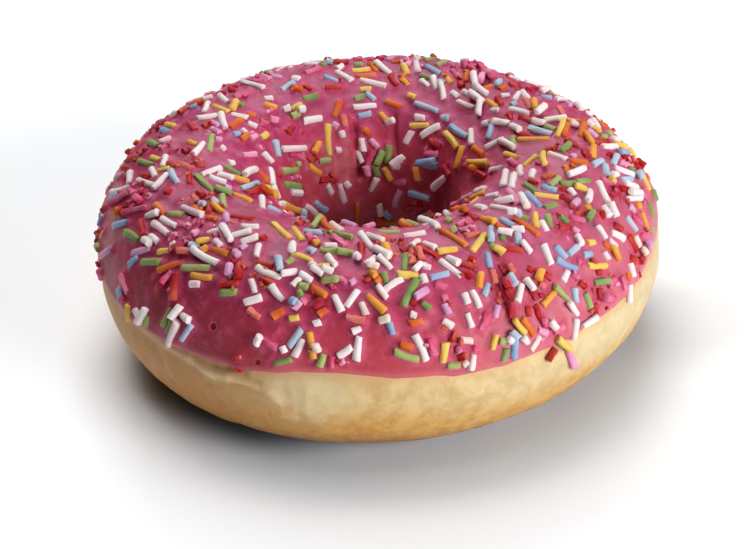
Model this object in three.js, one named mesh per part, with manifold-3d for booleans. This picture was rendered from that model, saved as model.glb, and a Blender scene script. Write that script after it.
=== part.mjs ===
// An iced ring doughnut with coloured sugar strands, in millimetres, Z up.
//
// The ring rests on its flat underside at Z = 0, and the axis of its hole is Z. Its front is -Y.
// It has two pieces: the fried dough, and the icing that lies over its upper half and down into
// the hole. The sugar strands are stuck in the icing, so they are one solid with it.

import * as THREE from 'three';
import { mergeVertices } from 'three/addons/utils/BufferGeometryUtils.js';
import Module from 'manifold-3d';

const wasm = await Module();
wasm.setup();

// The ring, measured over the icing
const RING_DIAMETER = 90;
const HOLE_DIAMETER = 25;
const RING_HEIGHT = 31.8;
const SHOULDER = 0.106; // share by which the upper half of the section is wider
const SLUMP = 0.044; // share of the height by which its sides sink
const BASE_CUT = 0.6; // what is pressed flat under the ring

// How it departs from an even ring: its radius as a share, its crest in millimetres
const RADIUS_WAVES = [
  { lobes: 2, cosine: -0.003, sine: -0.002 },
  { lobes: 3, cosine: 0.006, sine: -0.002 },
];
const CREST_WAVES = [{ lobes: 1, cosine: -0.3, sine: 0.4 }];

// The icing
const CREST_THICKNESS = 1.6;
const EDGE_THICKNESS = 0.95;
const BROAD_SWELL = 0.22;
const FINE_SWELL = 0.14;
const GAP = 0.3; // free space between icing and dough

// The icing's outer edge, in degrees of the section above the ring's middle height. It runs
// higher at the front and at the right, where it was pulled up, and unevenly round the back.
const OUTER_EDGE = 12.5;
const OUTER_EDGE_HUMPS = [
  { rise: 4.5, around: -100, width: 11 },
  { rise: -2, around: -67, width: 12 },
  { rise: 6.5, around: -8, width: 18 },
  { rise: 3, around: 75, width: 18 },
  { rise: -2.5, around: 118, width: 14 },
  { rise: 2, around: 150, width: 9 },
];

// Its inner edge, counted over the crest and down into the hole
const INNER_EDGE = 201;
const INNER_EDGE_WAVES = [
  { lobes: 3, cosine: 2.2, sine: 2.1 },
  { lobes: 5, cosine: 1.7, sine: -1 },
];

// The lip along both of the icing's edges
const LIP_ROUND = 1.5; // degrees of the section that the rounding takes
const LIP_CORNER = 0.3;

// The dough where it is bare
const LIP_STEP = 0.5; // how far the icing's edge stands out over it
const LIP_STEP_SWING = 0.3; // more on the left, less on the right
const LIP_STEP_FADE = 55; // degrees of the section over which the dough comes out to full size
const LIP_CLEARANCE = 2.5; // degrees of the section kept free below the icing's edge

// The sugar strands: the longest ones of all that the real ring carries
const STRANDS_ON_RING = 700;
const STRANDS_MADE = 185;
const STRAND_SHORTEST = 0.9;
const STRAND_LONGEST = 5.4;
const STRAND_LENGTH_POWER = 1.2;
const STRAND_RADIUS = 0.52;
const STRAND_RADIUS_SPREAD = 0.12;
const STRAND_LIFT = 0.12; // height of a strand's axis over the icing
const STRAND_LIFT_SPREAD = 0.16;
const STRAND_TILT = 0.1;
const STRAND_SIDES = 6;
const STRAND_TRIALS = 5; // places tried for each strand, of which the emptiest is taken
const STRAND_EDGE_MARGIN = 6; // degrees of the section kept free along the icing's edges
const FIRST_SEED = 20117;

// Patches of icing that few strands fell on: the middle and the half width of each, in degrees
// about Z and in degrees of the section
const BARE_PATCHES = [
  { around: -120, turn: 33, aroundWidth: 15, turnWidth: 11 },
  { around: -90, turn: 24, aroundWidth: 6, turnWidth: 12 },
  { around: -161, turn: 32, aroundWidth: 9, turnWidth: 9 },
  { around: -148, turn: 106, aroundWidth: 8, turnWidth: 9 },
  { around: 117, turn: 101, aroundWidth: 7, turnWidth: 10 },
  { around: 60, turn: 40, aroundWidth: 9, turnWidth: 14 },
];
const BARE_SHARE = 0.97; // share of the strands missing in the middle of a patch

// How finely the curved faces are divided
const AROUND_STEPS = 48;
const ICING_STEPS = 11;
const BARE_STEPS = 6;
const SIMPLIFIED_BY = 0.03; // how far the fused faces may move while small triangles are merged
const WELD_DISTANCE = 1e-5;

const FULL_TURN = 2 * Math.PI;
const RADIANS = Math.PI / 180;
const SECTION_WIDTH = (RING_DIAMETER - HOLE_DIAMETER) / 4; // half the ring's section
const CENTRE_RADIUS = RING_DIAMETER / 2 - SECTION_WIDTH;

// A smooth hump along an angle: 1 at `centre`, fading over `width`, both in degrees.
function hump(angle, centre, width) {
  const away = THREE.MathUtils.euclideanModulo(angle / RADIANS - centre + 180, 360) - 180;
  return Math.exp(-((away / width) ** 2));
}

// The sum of a few waves that run round the ring.
function waves(list, around) {
  const heights = list.map(({ lobes, cosine, sine }) => {
    return cosine * Math.cos(lobes * around) + sine * Math.sin(lobes * around);
  });
  return heights.reduce((total, height) => total + height, 0);
}

// How far the icing's low swells rise at one place.
function swell(around, turn) {
  const broad = Math.sin(5 * around + 1.3) * Math.sin(2 * turn + 0.6);
  const fine = Math.sin(9 * around + 2 * turn + 0.4) * Math.sin(turn) ** 2;
  return BROAD_SWELL * broad + FINE_SWELL * fine;
}

// A point of the ring's surface. `around` is the angle about Z, from +X. `turn` runs round the
// section: 0 on the outer side, a quarter turn at the crest, half a turn in the hole. `inset`
// moves the point in under the surface.
function ringPoint(around, turn, inset) {
  const side = Math.cos(turn);
  const rise = Math.sin(turn);
  const height = RING_HEIGHT + waves(CREST_WAVES, around);
  const reach = CENTRE_RADIUS + SECTION_WIDTH * side * (1 + SHOULDER * rise);
  const radius = reach * (1 + waves(RADIUS_WAVES, around)) - inset * side;
  const round = height * (0.5 + 0.5 * rise - SLUMP * side * side) - inset * rise;
  const z = (Math.max(round - BASE_CUT, 0) * height) / (height - BASE_CUT);
  return new THREE.Vector3(radius * Math.cos(around), radius * Math.sin(around), z);
}

// The angle of the section at which the icing begins, on the outer side.
function outerEdge(around) {
  const rises = OUTER_EDGE_HUMPS.map((one) => one.rise * hump(around, one.around, one.width));
  return rises.reduce((total, rise) => total + rise, OUTER_EDGE) * RADIANS;
}

// The angle at which it ends, inside the hole.
function innerEdge(around) {
  return (INNER_EDGE + waves(INNER_EDGE_WAVES, around)) * RADIANS;
}

// The icing is thickest on the crest and thins towards both edges. `share` runs from 0 at the
// outer edge to 1 at the inner one.
function icingThickness(share) {
  return EDGE_THICKNESS + (CREST_THICKNESS - EDGE_THICKNESS) * Math.sin(Math.PI * share);
}

// Makes a closed ring from a profile. `profile` is a list of functions of the angle around the
// ring. Each gives one point of the section there, and the last one is the first one again.
function ringFromProfile(profile) {
  const outline = profile.map((_, step) => {
    const angle = (FULL_TURN * step) / (profile.length - 1);
    return new THREE.Vector2(CENTRE_RADIUS + Math.cos(angle), Math.sin(angle));
  });
  const lathe = new THREE.LatheGeometry(outline, AROUND_STEPS);
  const position = lathe.getAttribute('position');
  for (let column = 0; column <= AROUND_STEPS; column += 1) {
    const around = (FULL_TURN * (column % AROUND_STEPS)) / AROUND_STEPS;
    for (let row = 0; row < profile.length; row += 1) {
      const point = profile[row](around);
      position.setXYZ(column * profile.length + row, point.x, point.y, point.z);
    }
  }
  const bare = new THREE.BufferGeometry();
  bare.setAttribute('position', position);
  bare.setIndex(lathe.getIndex());
  return mergeVertices(bare, WELD_DISTANCE);
}

// The fried dough. Under the icing it lies back by the icing's thickness and the gap. Below both
// edges it comes out again in a small step and reaches full size further down.
function doughGeometry() {
  const bareInset = (around, away) => {
    const step = LIP_STEP - LIP_STEP_SWING * Math.cos(around);
    return step * Math.max(0, 1 - away / (LIP_STEP_FADE * RADIANS));
  };
  const clearance = LIP_CLEARANCE * RADIANS;
  const bottom = -Math.PI / 2;
  const profile = [];
  for (let step = 0; step < BARE_STEPS; step += 1) {
    const share = step / (BARE_STEPS - 1);
    profile.push((around) => {
      const last = outerEdge(around) - 2 * clearance;
      const turn = THREE.MathUtils.lerp(bottom, last, share);
      return ringPoint(around, turn, bareInset(around, last - turn));
    });
  }
  for (let step = 0; step <= ICING_STEPS; step += 1) {
    const share = step / ICING_STEPS;
    profile.push((around) => {
      const first = outerEdge(around) - clearance;
      const last = innerEdge(around) + clearance;
      const turn = THREE.MathUtils.lerp(first, last, share);
      return ringPoint(around, turn, icingThickness(share) + GAP - swell(around, turn));
    });
  }
  for (let step = 0; step < BARE_STEPS; step += 1) {
    const share = step / (BARE_STEPS - 1);
    profile.push((around) => {
      const first = innerEdge(around) + 2 * clearance;
      const turn = THREE.MathUtils.lerp(first, bottom + FULL_TURN, share);
      return ringPoint(around, turn, bareInset(around, turn - first));
    });
  }
  return ringFromProfile(profile);
}

// The icing without its strands: an open shell with a rounded lip along both edges.
function icingShellGeometry() {
  const round = LIP_ROUND * RADIANS;
  const outerFace = [];
  const innerFace = [];
  for (let step = 0; step <= ICING_STEPS; step += 1) {
    const share = step / ICING_STEPS;
    const turnAt = (around) => THREE.MathUtils.lerp(outerEdge(around) + round, innerEdge(around) - round, share);
    outerFace.push((around) => ringPoint(around, turnAt(around), -swell(around, turnAt(around))));
    innerFace.unshift((around) => {
      const depth = icingThickness(share) - swell(around, turnAt(around));
      return ringPoint(around, turnAt(around), depth);
    });
  }
  const lipPoint = (edge, inset) => (around) => {
    const turn = edge(around);
    return ringPoint(around, turn, inset - swell(around, turn));
  };
  const innerLip = [lipPoint(innerEdge, LIP_CORNER), lipPoint(innerEdge, EDGE_THICKNESS - LIP_CORNER)];
  const outerLip = [lipPoint(outerEdge, EDGE_THICKNESS - LIP_CORNER), lipPoint(outerEdge, LIP_CORNER)];
  return ringFromProfile([...outerFace, ...innerLip, ...innerFace, ...outerLip, outerFace[0]]);
}

// The seeded draw behind the strands' places: a whole number below `MODULUS`, multiplied on.
const MULTIPLIER = 48271;
const MODULUS = 2147483647;
let seed = FIRST_SEED;
function draw() {
  seed = (seed * MULTIPLIER) % MODULUS;
  return seed / MODULUS;
}

// The icing's surface at one place: the point, two directions along the surface and its normal.
function icingFrame(around, turn) {
  const nudge = 1e-3;
  const at = (a, t) => ringPoint(a, t, -swell(a, t));
  const along = at(around + nudge, turn).sub(at(around - nudge, turn)).normalize();
  const over = at(around, turn + nudge).sub(at(around, turn - nudge)).normalize();
  const normal = new THREE.Vector3().crossVectors(along, over).normalize();
  const across = new THREE.Vector3().crossVectors(normal, along);
  return { point: at(around, turn), along, across, normal };
}

// How bare the icing is at one place, from 0 to 1.
function bareness(around, turn) {
  const patches = BARE_PATCHES.map((patch) => {
    const along = hump(around, patch.around, patch.aroundWidth);
    return along * hump(turn, patch.turn, patch.turnWidth);
  });
  return Math.max(...patches);
}

// One possible strand. Places are drawn evenly over the surface, so a draw in the narrow hole or
// in a bare patch is thrown away more often. A strand that would reach over an edge of the icing
// is thrown away too.
function drawStrand(length) {
  const widest = CENTRE_RADIUS + SECTION_WIDTH;
  for (;;) {
    const around = FULL_TURN * draw();
    const share = draw();
    const heading = Math.PI * draw();
    const kept = draw();
    const turn = THREE.MathUtils.lerp(outerEdge(around), innerEdge(around), share);
    const radius = CENTRE_RADIUS + SECTION_WIDTH * Math.cos(turn);
    const reach = (Math.abs(Math.sin(heading)) * length) / 2 / SECTION_WIDTH;
    const margin = STRAND_EDGE_MARGIN * RADIANS + reach;
    const inside = turn > outerEdge(around) + margin && turn < innerEdge(around) - margin;
    if (kept * widest < radius * (1 - BARE_SHARE * bareness(around, turn)) && inside) {
      return { around, turn, heading, length };
    }
  }
}

// The strands, longest first. Each takes the emptiest of a few places.
function layStrands(count) {
  const laid = [];
  for (let number = 0; number < count; number += 1) {
    const rank = (1 - number / STRANDS_ON_RING) ** STRAND_LENGTH_POWER;
    const length = THREE.MathUtils.lerp(STRAND_SHORTEST, STRAND_LONGEST, rank);
    let best = null;
    for (let trial = 0; trial < STRAND_TRIALS; trial += 1) {
      const strand = drawStrand(length);
      strand.frame = icingFrame(strand.around, strand.turn);
      const distances = laid.map((other) => other.frame.point.distanceTo(strand.frame.point));
      strand.room = Math.min(RING_DIAMETER, ...distances);
      if (best === null || strand.room > best.room) {
        best = strand;
      }
    }
    best.radius = STRAND_RADIUS + STRAND_RADIUS_SPREAD * draw();
    best.lift = STRAND_LIFT + STRAND_LIFT_SPREAD * draw();
    best.tilt = STRAND_TILT * (2 * draw() - 1);
    laid.push(best);
  }
  return laid;
}

// One strand: a short rod, half sunk in the icing.
function strandGeometry(strand) {
  const { point, along, across, normal } = strand.frame;
  const axis = along.clone().multiplyScalar(Math.cos(strand.heading));
  axis.addScaledVector(across, Math.sin(strand.heading)).addScaledVector(normal, strand.tilt).normalize();
  const rod = new THREE.CylinderGeometry(strand.radius, strand.radius, strand.length, STRAND_SIDES);
  rod.applyQuaternion(new THREE.Quaternion().setFromUnitVectors(new THREE.Vector3(0, 1, 0), axis));
  const centre = point.clone().addScaledVector(normal, strand.lift);
  rod.translate(centre.x, centre.y, centre.z);
  return rod;
}

function toManifold(geometry) {
  const bare = new THREE.BufferGeometry();
  bare.setAttribute('position', geometry.getAttribute('position'));
  bare.setIndex(geometry.getIndex());
  const welded = mergeVertices(bare, WELD_DISTANCE);
  const vertProperties = new Float32Array(welded.getAttribute('position').array);
  const triVerts = new Uint32Array(welded.getIndex().array);
  return new wasm.Manifold(new wasm.Mesh({ numProp: 3, vertProperties, triVerts }));
}

function fromManifold(solid) {
  const mesh = solid.getMesh();
  const geometry = new THREE.BufferGeometry();
  geometry.setAttribute('position', new THREE.BufferAttribute(mesh.vertProperties, 3));
  geometry.setIndex(new THREE.BufferAttribute(mesh.triVerts, 1));
  return geometry;
}

// The icing with its strands fused on. Only the largest shell is kept, so a hollow that crossing
// strands close off is filled.
function icingGeometry() {
  let solid = toManifold(icingShellGeometry());
  for (const strand of layStrands(STRANDS_MADE)) {
    solid = solid.add(toManifold(strandGeometry(strand)));
  }
  const shells = solid.simplify(SIMPLIFIED_BY).decompose().sort((a, b) => b.volume() - a.volume());
  return fromManifold(shells[0]);
}

function doughMaterial() {
  return new THREE.MeshStandardMaterial({ color: 0xe0b268, roughness: 0.7, metalness: 0 });
}

function icingMaterial() {
  return new THREE.MeshStandardMaterial({ color: 0xc24a78, roughness: 0.45, metalness: 0 });
}

function makeMesh(name, geometry, material) {
  geometry.computeVertexNormals();
  const mesh = new THREE.Mesh(geometry, material);
  mesh.name = name;
  return mesh;
}

const doughnut = new THREE.Group();
doughnut.add(makeMesh('dough', doughGeometry(), doughMaterial()));
doughnut.add(makeMesh('icing', icingGeometry(), icingMaterial()));

export default doughnut;
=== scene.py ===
# %% [markdown]
# # An iced ring doughnut with sugar strands
#
# The real thing is a ring of yeast dough, fried and then dipped upside down in warm pink icing.
# While the icing was soft it was pressed into coloured sugar strands, so they lie in it at all
# angles, half sunk, some across others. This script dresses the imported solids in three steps:
# the dough, the icing and the strands. Everything is in metres, and the ring's front is -Y.

# %% Load the frame
import math
from dataclasses import dataclass

import bpy
import numpy as np
from mathutils import Matrix, Vector, kdtree, noise
from mathutils.bvhtree import BVHTree


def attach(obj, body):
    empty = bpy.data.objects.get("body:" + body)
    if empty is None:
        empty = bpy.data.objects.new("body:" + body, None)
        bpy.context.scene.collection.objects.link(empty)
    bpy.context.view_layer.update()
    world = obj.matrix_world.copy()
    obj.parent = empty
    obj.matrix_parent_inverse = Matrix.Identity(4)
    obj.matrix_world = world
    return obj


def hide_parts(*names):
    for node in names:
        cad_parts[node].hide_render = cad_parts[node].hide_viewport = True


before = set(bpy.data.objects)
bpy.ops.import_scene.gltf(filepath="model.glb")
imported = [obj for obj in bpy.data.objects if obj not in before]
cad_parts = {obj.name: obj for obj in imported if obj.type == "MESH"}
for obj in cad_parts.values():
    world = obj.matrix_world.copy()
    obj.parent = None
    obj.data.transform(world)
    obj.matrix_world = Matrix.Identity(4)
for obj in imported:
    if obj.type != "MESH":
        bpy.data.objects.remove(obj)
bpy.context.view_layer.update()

MM = 0.001
print("nodes:", sorted(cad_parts))

# %% [markdown]
# ## The ring's shape
#
# Dough and icing follow one surface, so it is written once, as a function of two angles. `around`
# is the angle about Z, and `turn` goes round the ring's section: 0 on the outer side, a quarter
# turn on the crest, half a turn in the hole. The sizes are those of the solids. They could be
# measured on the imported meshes, but a formula has no facets and can be sampled as finely as the
# icing needs.

# %% The ring's sizes
RING_DIAMETER = 90 * MM
HOLE_DIAMETER = 25 * MM
RING_HEIGHT = 31.8 * MM
SHOULDER = 0.106  # how much wider the section is above its middle than below
SLUMP = 0.044  # how much its widest places sag
BASE_CUT = 0.6 * MM  # what its own weight presses flat
SECTION_WIDTH = (RING_DIAMETER - HOLE_DIAMETER) / 4
CENTRE_RADIUS = RING_DIAMETER / 2 - SECTION_WIDTH
RADIUS_WAVES = [(2, -0.003, -0.002), (3, 0.006, -0.002)]  # lobes, cosine and sine share
CREST_WAVES = [(1, -0.3 * MM, 0.4 * MM)]
BROAD_SWELL = 0.22 * MM
BROAD_WAVE = (5, 1.3, 2, 0.6)  # lobes round the ring and their shift, then round the section
FINE_SWELL = 0.14 * MM
FINE_WAVE = (9, 2, 0.4)
print(f"section {2 * SECTION_WIDTH / MM:.1f} mm wide about a circle of radius {CENTRE_RADIUS / MM:.1f} mm")

# %% The icing's edges
OUTER_EDGE = 12.5  # where on the section the icing begins, in degrees
OUTER_EDGE_HUMPS = [  # how much higher it begins, the place round the ring, the width of the hump
    (4.5, -100, 11),
    (-2, -67, 12),
    (6.5, -8, 18),
    (3, 75, 18),
    (-2.5, 118, 14),
    (2, 150, 9),
]
INNER_EDGE = 201
INNER_EDGE_WAVES = [(3, 2.2, 2.1), (5, 1.7, -1)]  # lobes, cosine and sine share
CREST_THICKNESS = 1.6 * MM
EDGE_THICKNESS = 0.95 * MM


def hump(angle, centre, width):
    """A smooth hump along an angle in radians: 1 at `centre`, fading over `width`, both in degrees."""
    away = (np.degrees(angle) - centre + 180) % 360 - 180
    return np.exp(-((away / width) ** 2))


def waves(terms, around):
    """The sum of a few waves that run round the ring."""
    return sum(c * np.cos(lobes * around) + s * np.sin(lobes * around) for lobes, c, s in terms)


def outer_edge(around):
    """The angle of the section at which the icing begins, on the outer side."""
    humps = sum(rise * hump(around, at, width) for rise, at, width in OUTER_EDGE_HUMPS)
    return np.radians(OUTER_EDGE + humps)


def inner_edge(around):
    """The angle at which it ends, inside the hole."""
    return np.radians(INNER_EDGE + waves(INNER_EDGE_WAVES, around))


print(f"at the front the icing begins {math.degrees(outer_edge(-math.pi / 2)):.1f} degrees up the side")


# %% The ring's surface
def swell(around, turn):
    """How far the icing's low swells rise."""
    lobes, shift, bands, lag = BROAD_WAVE
    broad = np.sin(lobes * around + shift) * np.sin(bands * turn + lag)
    lobes, twist, shift = FINE_WAVE
    fine = np.sin(lobes * around + twist * turn + shift) * np.sin(turn) ** 2
    return BROAD_SWELL * broad + FINE_SWELL * fine


def ring_point(around, turn, inset):
    """Points of the ring's surface, moved in under it by `inset`, as an array of rows of x, y, z."""
    side = np.cos(turn)
    rise = np.sin(turn)
    height = RING_HEIGHT + waves(CREST_WAVES, around)
    reach = CENTRE_RADIUS + SECTION_WIDTH * side * (1 + SHOULDER * rise)
    radius = reach * (1 + waves(RADIUS_WAVES, around)) - inset * side
    full = height * (0.5 + 0.5 * rise - SLUMP * side * side) - inset * rise
    z = np.maximum(full - BASE_CUT, 0) * height / (height - BASE_CUT)
    return np.stack([radius * np.cos(around), radius * np.sin(around), z], axis=-1)


def icing_thickness(around, turn):
    """The icing's thickness: greatest on the crest, least at both edges."""
    share = np.clip((turn - outer_edge(around)) / (inner_edge(around) - outer_edge(around)), 0, 1)
    return EDGE_THICKNESS + (CREST_THICKNESS - EDGE_THICKNESS) * np.sin(math.pi * share)


print("crest at", np.round(ring_point(0.0, math.pi / 2, 0.0) / MM, 1), "mm")

# %% [markdown]
# ## The camera
#
# It stands where the photographer's did: about 30 degrees above the table, nearly half a metre
# away, held a little askew. A long lens keeps the ring's far side nearly as large as its near
# side. The camera comes this early because the strands further down are placed by where they
# show. It could be aimed with a Track To constraint, but its lean is easier to give as a matrix.

# %% Place the camera
IMAGE_WIDTH = 752
IMAGE_HEIGHT = 549
LOOK_DISTANCE = 0.45
LOOK_UP = math.radians(29.65)
LEAN = math.radians(2.86)  # how far the camera is turned about its own line of sight
FOCAL_PIXELS = 2811
CENTRE_SHOWS_RIGHT = 0.3  # pixels from the middle of the picture to where the ring's middle shows
CENTRE_SHOWS_ABOVE = 30.1
RING_MIDDLE = Vector((0, 0, 15 * MM))
NEAREST_SHOWN = 10 * MM

back = Vector((0, -math.cos(LOOK_UP), math.sin(LOOK_UP)))
turned = Matrix.Rotation(-LEAN, 3, back)
right = turned @ Vector((1, 0, 0))
upward = turned @ back.cross(Vector((1, 0, 0)))
eye = RING_MIDDLE + back * LOOK_DISTANCE
pixel = LOOK_DISTANCE / FOCAL_PIXELS
aim = RING_MIDDLE - right * CENTRE_SHOWS_RIGHT * pixel - upward * CENTRE_SHOWS_ABOVE * pixel

bpy.ops.object.camera_add(location=eye)
camera = bpy.context.object
camera.name = "camera"
view = (eye - aim).normalized()
across = upward.cross(view).normalized()
camera.matrix_world = Matrix.LocRotScale(eye, Matrix((across, view.cross(across), view)).transposed(), None)
camera.data.lens = FOCAL_PIXELS * camera.data.sensor_width / IMAGE_WIDTH
camera.data.clip_start = NEAREST_SHOWN
bpy.context.scene.camera = camera
print(f"lens {camera.data.lens:.0f} mm")

# %% [markdown]
# ## Tools for ring-shaped pieces
#
# Both soft pieces are closed rings, so both start the same way: a circle is added standing on
# its edge, as the ring's section, and spun about Z. Each vertex then knows its two angles from
# where it lies on that plain ring, and is moved to where the surface function says. Starting
# from a torus primitive would do too, but the spin makes the section plain to see.


# %% Spin a plain ring
MERGE_WITHIN = 0.001 * MM


def deselect_all():
    bpy.ops.object.select_all(action="DESELECT")


def make_active(piece):
    deselect_all()
    piece.select_set(True)
    bpy.context.view_layer.objects.active = piece


def spin_ring(name, rows, columns):
    """A plain ring of `rows` faces round its section and `columns` faces about Z."""
    deselect_all()
    bpy.ops.mesh.primitive_circle_add(
        vertices=rows, radius=SECTION_WIDTH, location=(CENTRE_RADIUS, 0, 0), rotation=(math.pi / 2, 0, 0)
    )
    ring = bpy.context.object
    ring.name = name
    bpy.ops.object.transform_apply(location=True, rotation=True, scale=True)
    bpy.ops.object.mode_set(mode="EDIT")
    bpy.ops.mesh.select_all(action="SELECT")
    bpy.ops.mesh.spin(steps=columns, angle=2 * math.pi, center=(0, 0, 0), axis=(0, 0, 1))
    bpy.ops.mesh.select_all(action="SELECT")
    bpy.ops.mesh.remove_doubles(threshold=MERGE_WITHIN)
    bpy.ops.mesh.normals_make_consistent(inside=False)
    bpy.ops.object.mode_set(mode="OBJECT")
    return ring


print(f"a plain ring is spun {CENTRE_RADIUS / MM:.1f} mm from the axis")

# %% [markdown]
# A mesh hands over all its vertices at once with foreach_get, and takes them back with
# foreach_set. That is many times quicker than a loop over the vertices, and it lets NumPy work
# out the whole ring in one go.


# %% Read, move and mark vertices
def positions(piece):
    """The places of a piece's vertices, as rows of x, y, z."""
    points = np.empty(len(piece.data.vertices) * 3)
    piece.data.vertices.foreach_get("co", points)
    return points.reshape(-1, 3)


def move_to(piece, points):
    """Puts the vertices where the rows of x, y, z say."""
    piece.data.vertices.foreach_set("co", np.asarray(points).ravel())
    piece.data.update()


def ring_angles(piece):
    """The two angles of each vertex of a plain spun ring."""
    x, y, z = positions(piece).T
    around = np.arctan2(y, x)
    turn = np.arctan2(z, np.hypot(x, y) - CENTRE_RADIUS)
    return around, turn


def store(piece, name, values):
    """Keeps one number for each vertex, for the material to read."""
    layer = piece.data.attributes.new(name=name, type="FLOAT", domain="POINT")
    layer.data.foreach_set("value", np.asarray(values, dtype=np.float32))


def apply_modifier(piece, kind, **settings):
    make_active(piece)
    modifier = piece.modifiers.new(kind.lower(), kind)
    for key, value in settings.items():
        setattr(modifier, key, value)
    bpy.ops.object.modifier_apply(modifier=modifier.name)


def shade_smooth(piece):
    make_active(piece)
    bpy.ops.object.shade_smooth()


print("vertices can be read, moved and marked")

# %% [markdown]
# Small forms, such as folds, ridges and pits, are drawn on the ring as short strokes. A sculpt
# brush would do it by hand. A stroke in code says where it starts and ends and how wide it is,
# so it can be moved later, and the dough and the icing can share it.


# %% Draw strokes on the ring
def unroll(around, turn):
    """Places on the ring as distances along it and round its section, for measuring between them."""
    radius = CENTRE_RADIUS + SECTION_WIDTH * np.cos(turn)
    return np.stack([around * radius, turn * SECTION_WIDTH], axis=-1)


def stroke(around, turn, start, end, width):
    """1 along a straight stroke between two places given in degrees, fading over `width`."""
    middle = math.radians((start[0] + end[0]) / 2)
    nearby = (around - middle + math.pi) % (2 * math.pi) - math.pi
    place = unroll(nearby, turn)
    first = unroll(math.radians(start[0]) - middle, np.radians(start[1]))
    last = unroll(math.radians(end[0]) - middle, np.radians(end[1]))
    along = last - first
    share = np.clip(((place - first) @ along) / (along @ along), 0, 1)
    nearest = first + share[..., None] * along
    return np.exp(-(((place - nearest) ** 2).sum(axis=-1)) / width**2)


print("where a stroke starts its strength is", round(float(stroke(0, 0, (0, 0), (9, 0), MM)), 3))

# %% [markdown]
# ## Shader maths
#
# A finish is a small tree of nodes. Writing it link by link hides what it does, so one class
# wraps a socket and lets Python's own signs add the Math nodes. Every other node is made by one
# method, which takes the node's type, its settings and its inputs.


# %% Sums on sockets
class Value:
    """An output socket that can be added, multiplied and so on."""

    def __init__(self, finish, socket):
        self.finish = finish
        self.socket = socket

    def math(self, operation, *others):
        return self.finish.node("ShaderNodeMath", {"operation": operation}, dict(enumerate((self, *others))))

    def reflected(self, operation, other):
        return self.finish.node("ShaderNodeMath", {"operation": operation}, {0: other, 1: self})

    def __add__(self, other):
        return self.math("ADD", other)

    def __radd__(self, other):
        return self.reflected("ADD", other)

    def __sub__(self, other):
        return self.math("SUBTRACT", other)

    def __rsub__(self, other):
        return self.reflected("SUBTRACT", other)

    def __mul__(self, other):
        return self.math("MULTIPLY", other)

    def __rmul__(self, other):
        return self.reflected("MULTIPLY", other)


print("sockets can be added, subtracted and multiplied")

# %% [markdown]
# A finish starts as one base colour. The real surface got its tints one after the other, in the
# oil, the icing and the air, so the finish is built up in the same order: `paint` lays each tint
# over the last, where its mask says. A ramp on one noise is quicker to set up, but then every
# tint follows the same clouds.


# %% A finish
def linear(red, green, blue):
    """A colour given as values from 0 to 255, as a shader takes it."""
    shares = [value / 255 for value in (red, green, blue)]
    return tuple(v / 12.92 if v <= 0.04045 else ((v + 0.055) / 1.055) ** 2.4 for v in shares) + (1.0,)


BUMP_STRENGTH = 0.7


class Finish:
    """One material, built node by node around a Principled shader."""

    def __init__(self, name, **constants):
        self.material = bpy.data.materials.new(name)
        self.material.use_nodes = True
        self.tree = self.material.node_tree
        self.shader = self.tree.nodes["Principled BSDF"]
        for key, value in constants.items():
            self.shader.inputs[key.replace("_", " ")].default_value = value

    def link(self, value, target):
        if isinstance(value, Value):
            self.tree.links.new(value.socket, target)
        else:
            target.default_value = value

    def node(self, kind, settings=None, inputs=None, output=0):
        node = self.tree.nodes.new(kind)
        for key, value in (settings or {}).items():
            setattr(node, key, value)
        for key, value in (inputs or {}).items():
            self.link(value, node.inputs[key])
        return Value(self, node.outputs[output])

    def attribute(self, name):
        return self.node("ShaderNodeAttribute", {"attribute_name": name}, output="Fac")

    def place(self):
        return self.node("ShaderNodeTexCoord", output="Object")

    def noise(self, size, detail=2.0, roughness=0.5, stretch=None):
        """Cloudy noise from 0 to 1 with lumps of `size`, in metres."""
        where = self.place()
        if stretch:
            where = self.node("ShaderNodeMapping", inputs={"Vector": where, "Scale": stretch})
        inputs = {"Vector": where, "Scale": 1 / size, "Detail": detail, "Roughness": roughness}
        return self.node("ShaderNodeTexNoise", inputs=inputs)

    def distance(self, point):
        """How far a place lies from one point, in metres."""
        inputs = {0: self.place(), 1: point}
        return self.node("ShaderNodeVectorMath", {"operation": "DISTANCE"}, inputs, "Value")

    def near(self, point, full, none):
        """1 closer to a point than `full`, 0 further than `none`. All are in millimetres."""
        away = self.distance(tuple(v * MM for v in point))
        return 1 - self.step(away, full * MM, none * MM)

    def step(self, value, low, high):
        """0 below `low`, 1 above `high`, smooth between."""
        inputs = {"Value": value, "From Min": low, "From Max": high}
        return self.node("ShaderNodeMapRange", {"interpolation_type": "SMOOTHSTEP"}, inputs)

    def mix(self, factor, first, second):
        settings = {"data_type": "RGBA", "clamp_factor": True}
        return self.node("ShaderNodeMix", settings, {0: factor, 6: first, 7: second}, output=2)

    def paint(self, colour, layers):
        """Lays tints over a colour in turn. A layer is a mask and a tint in values up to 255."""
        for mask, tint in layers:
            colour = self.mix(mask, colour, linear(*tint))
        return colour

    def blotches(self, mask, tints):
        """One of two tints where a mask is 0, the other where it is 1."""
        first, second = tints
        return self.mix(mask, linear(*first), linear(*second))

    def bump(self, height, distance):
        inputs = {"Height": height, "Distance": distance, "Strength": BUMP_STRENGTH}
        return self.node("ShaderNodeBump", inputs=inputs)

    def set(self, **sockets):
        for key, value in sockets.items():
            self.link(value, self.shader.inputs[key.replace("_", " ")])


print("mid grey in a shader:", round(linear(128, 128, 128)[0], 3))

# %% [markdown]
# ## The dough
#
# Fried dough is smooth and soft-skinned. It floats while it fries, so it browns below and stays
# pale in a band round the middle, which here shows just under the icing. Where the icing pulled
# at it, at the front left, it has small folds. The ring is spun coarsely and rounded by
# subdivision, then shaped. Its low unevenness comes from Displace modifiers, which are quicker
# to adjust than vertex moves and act only on the vertices that a group names.

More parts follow.
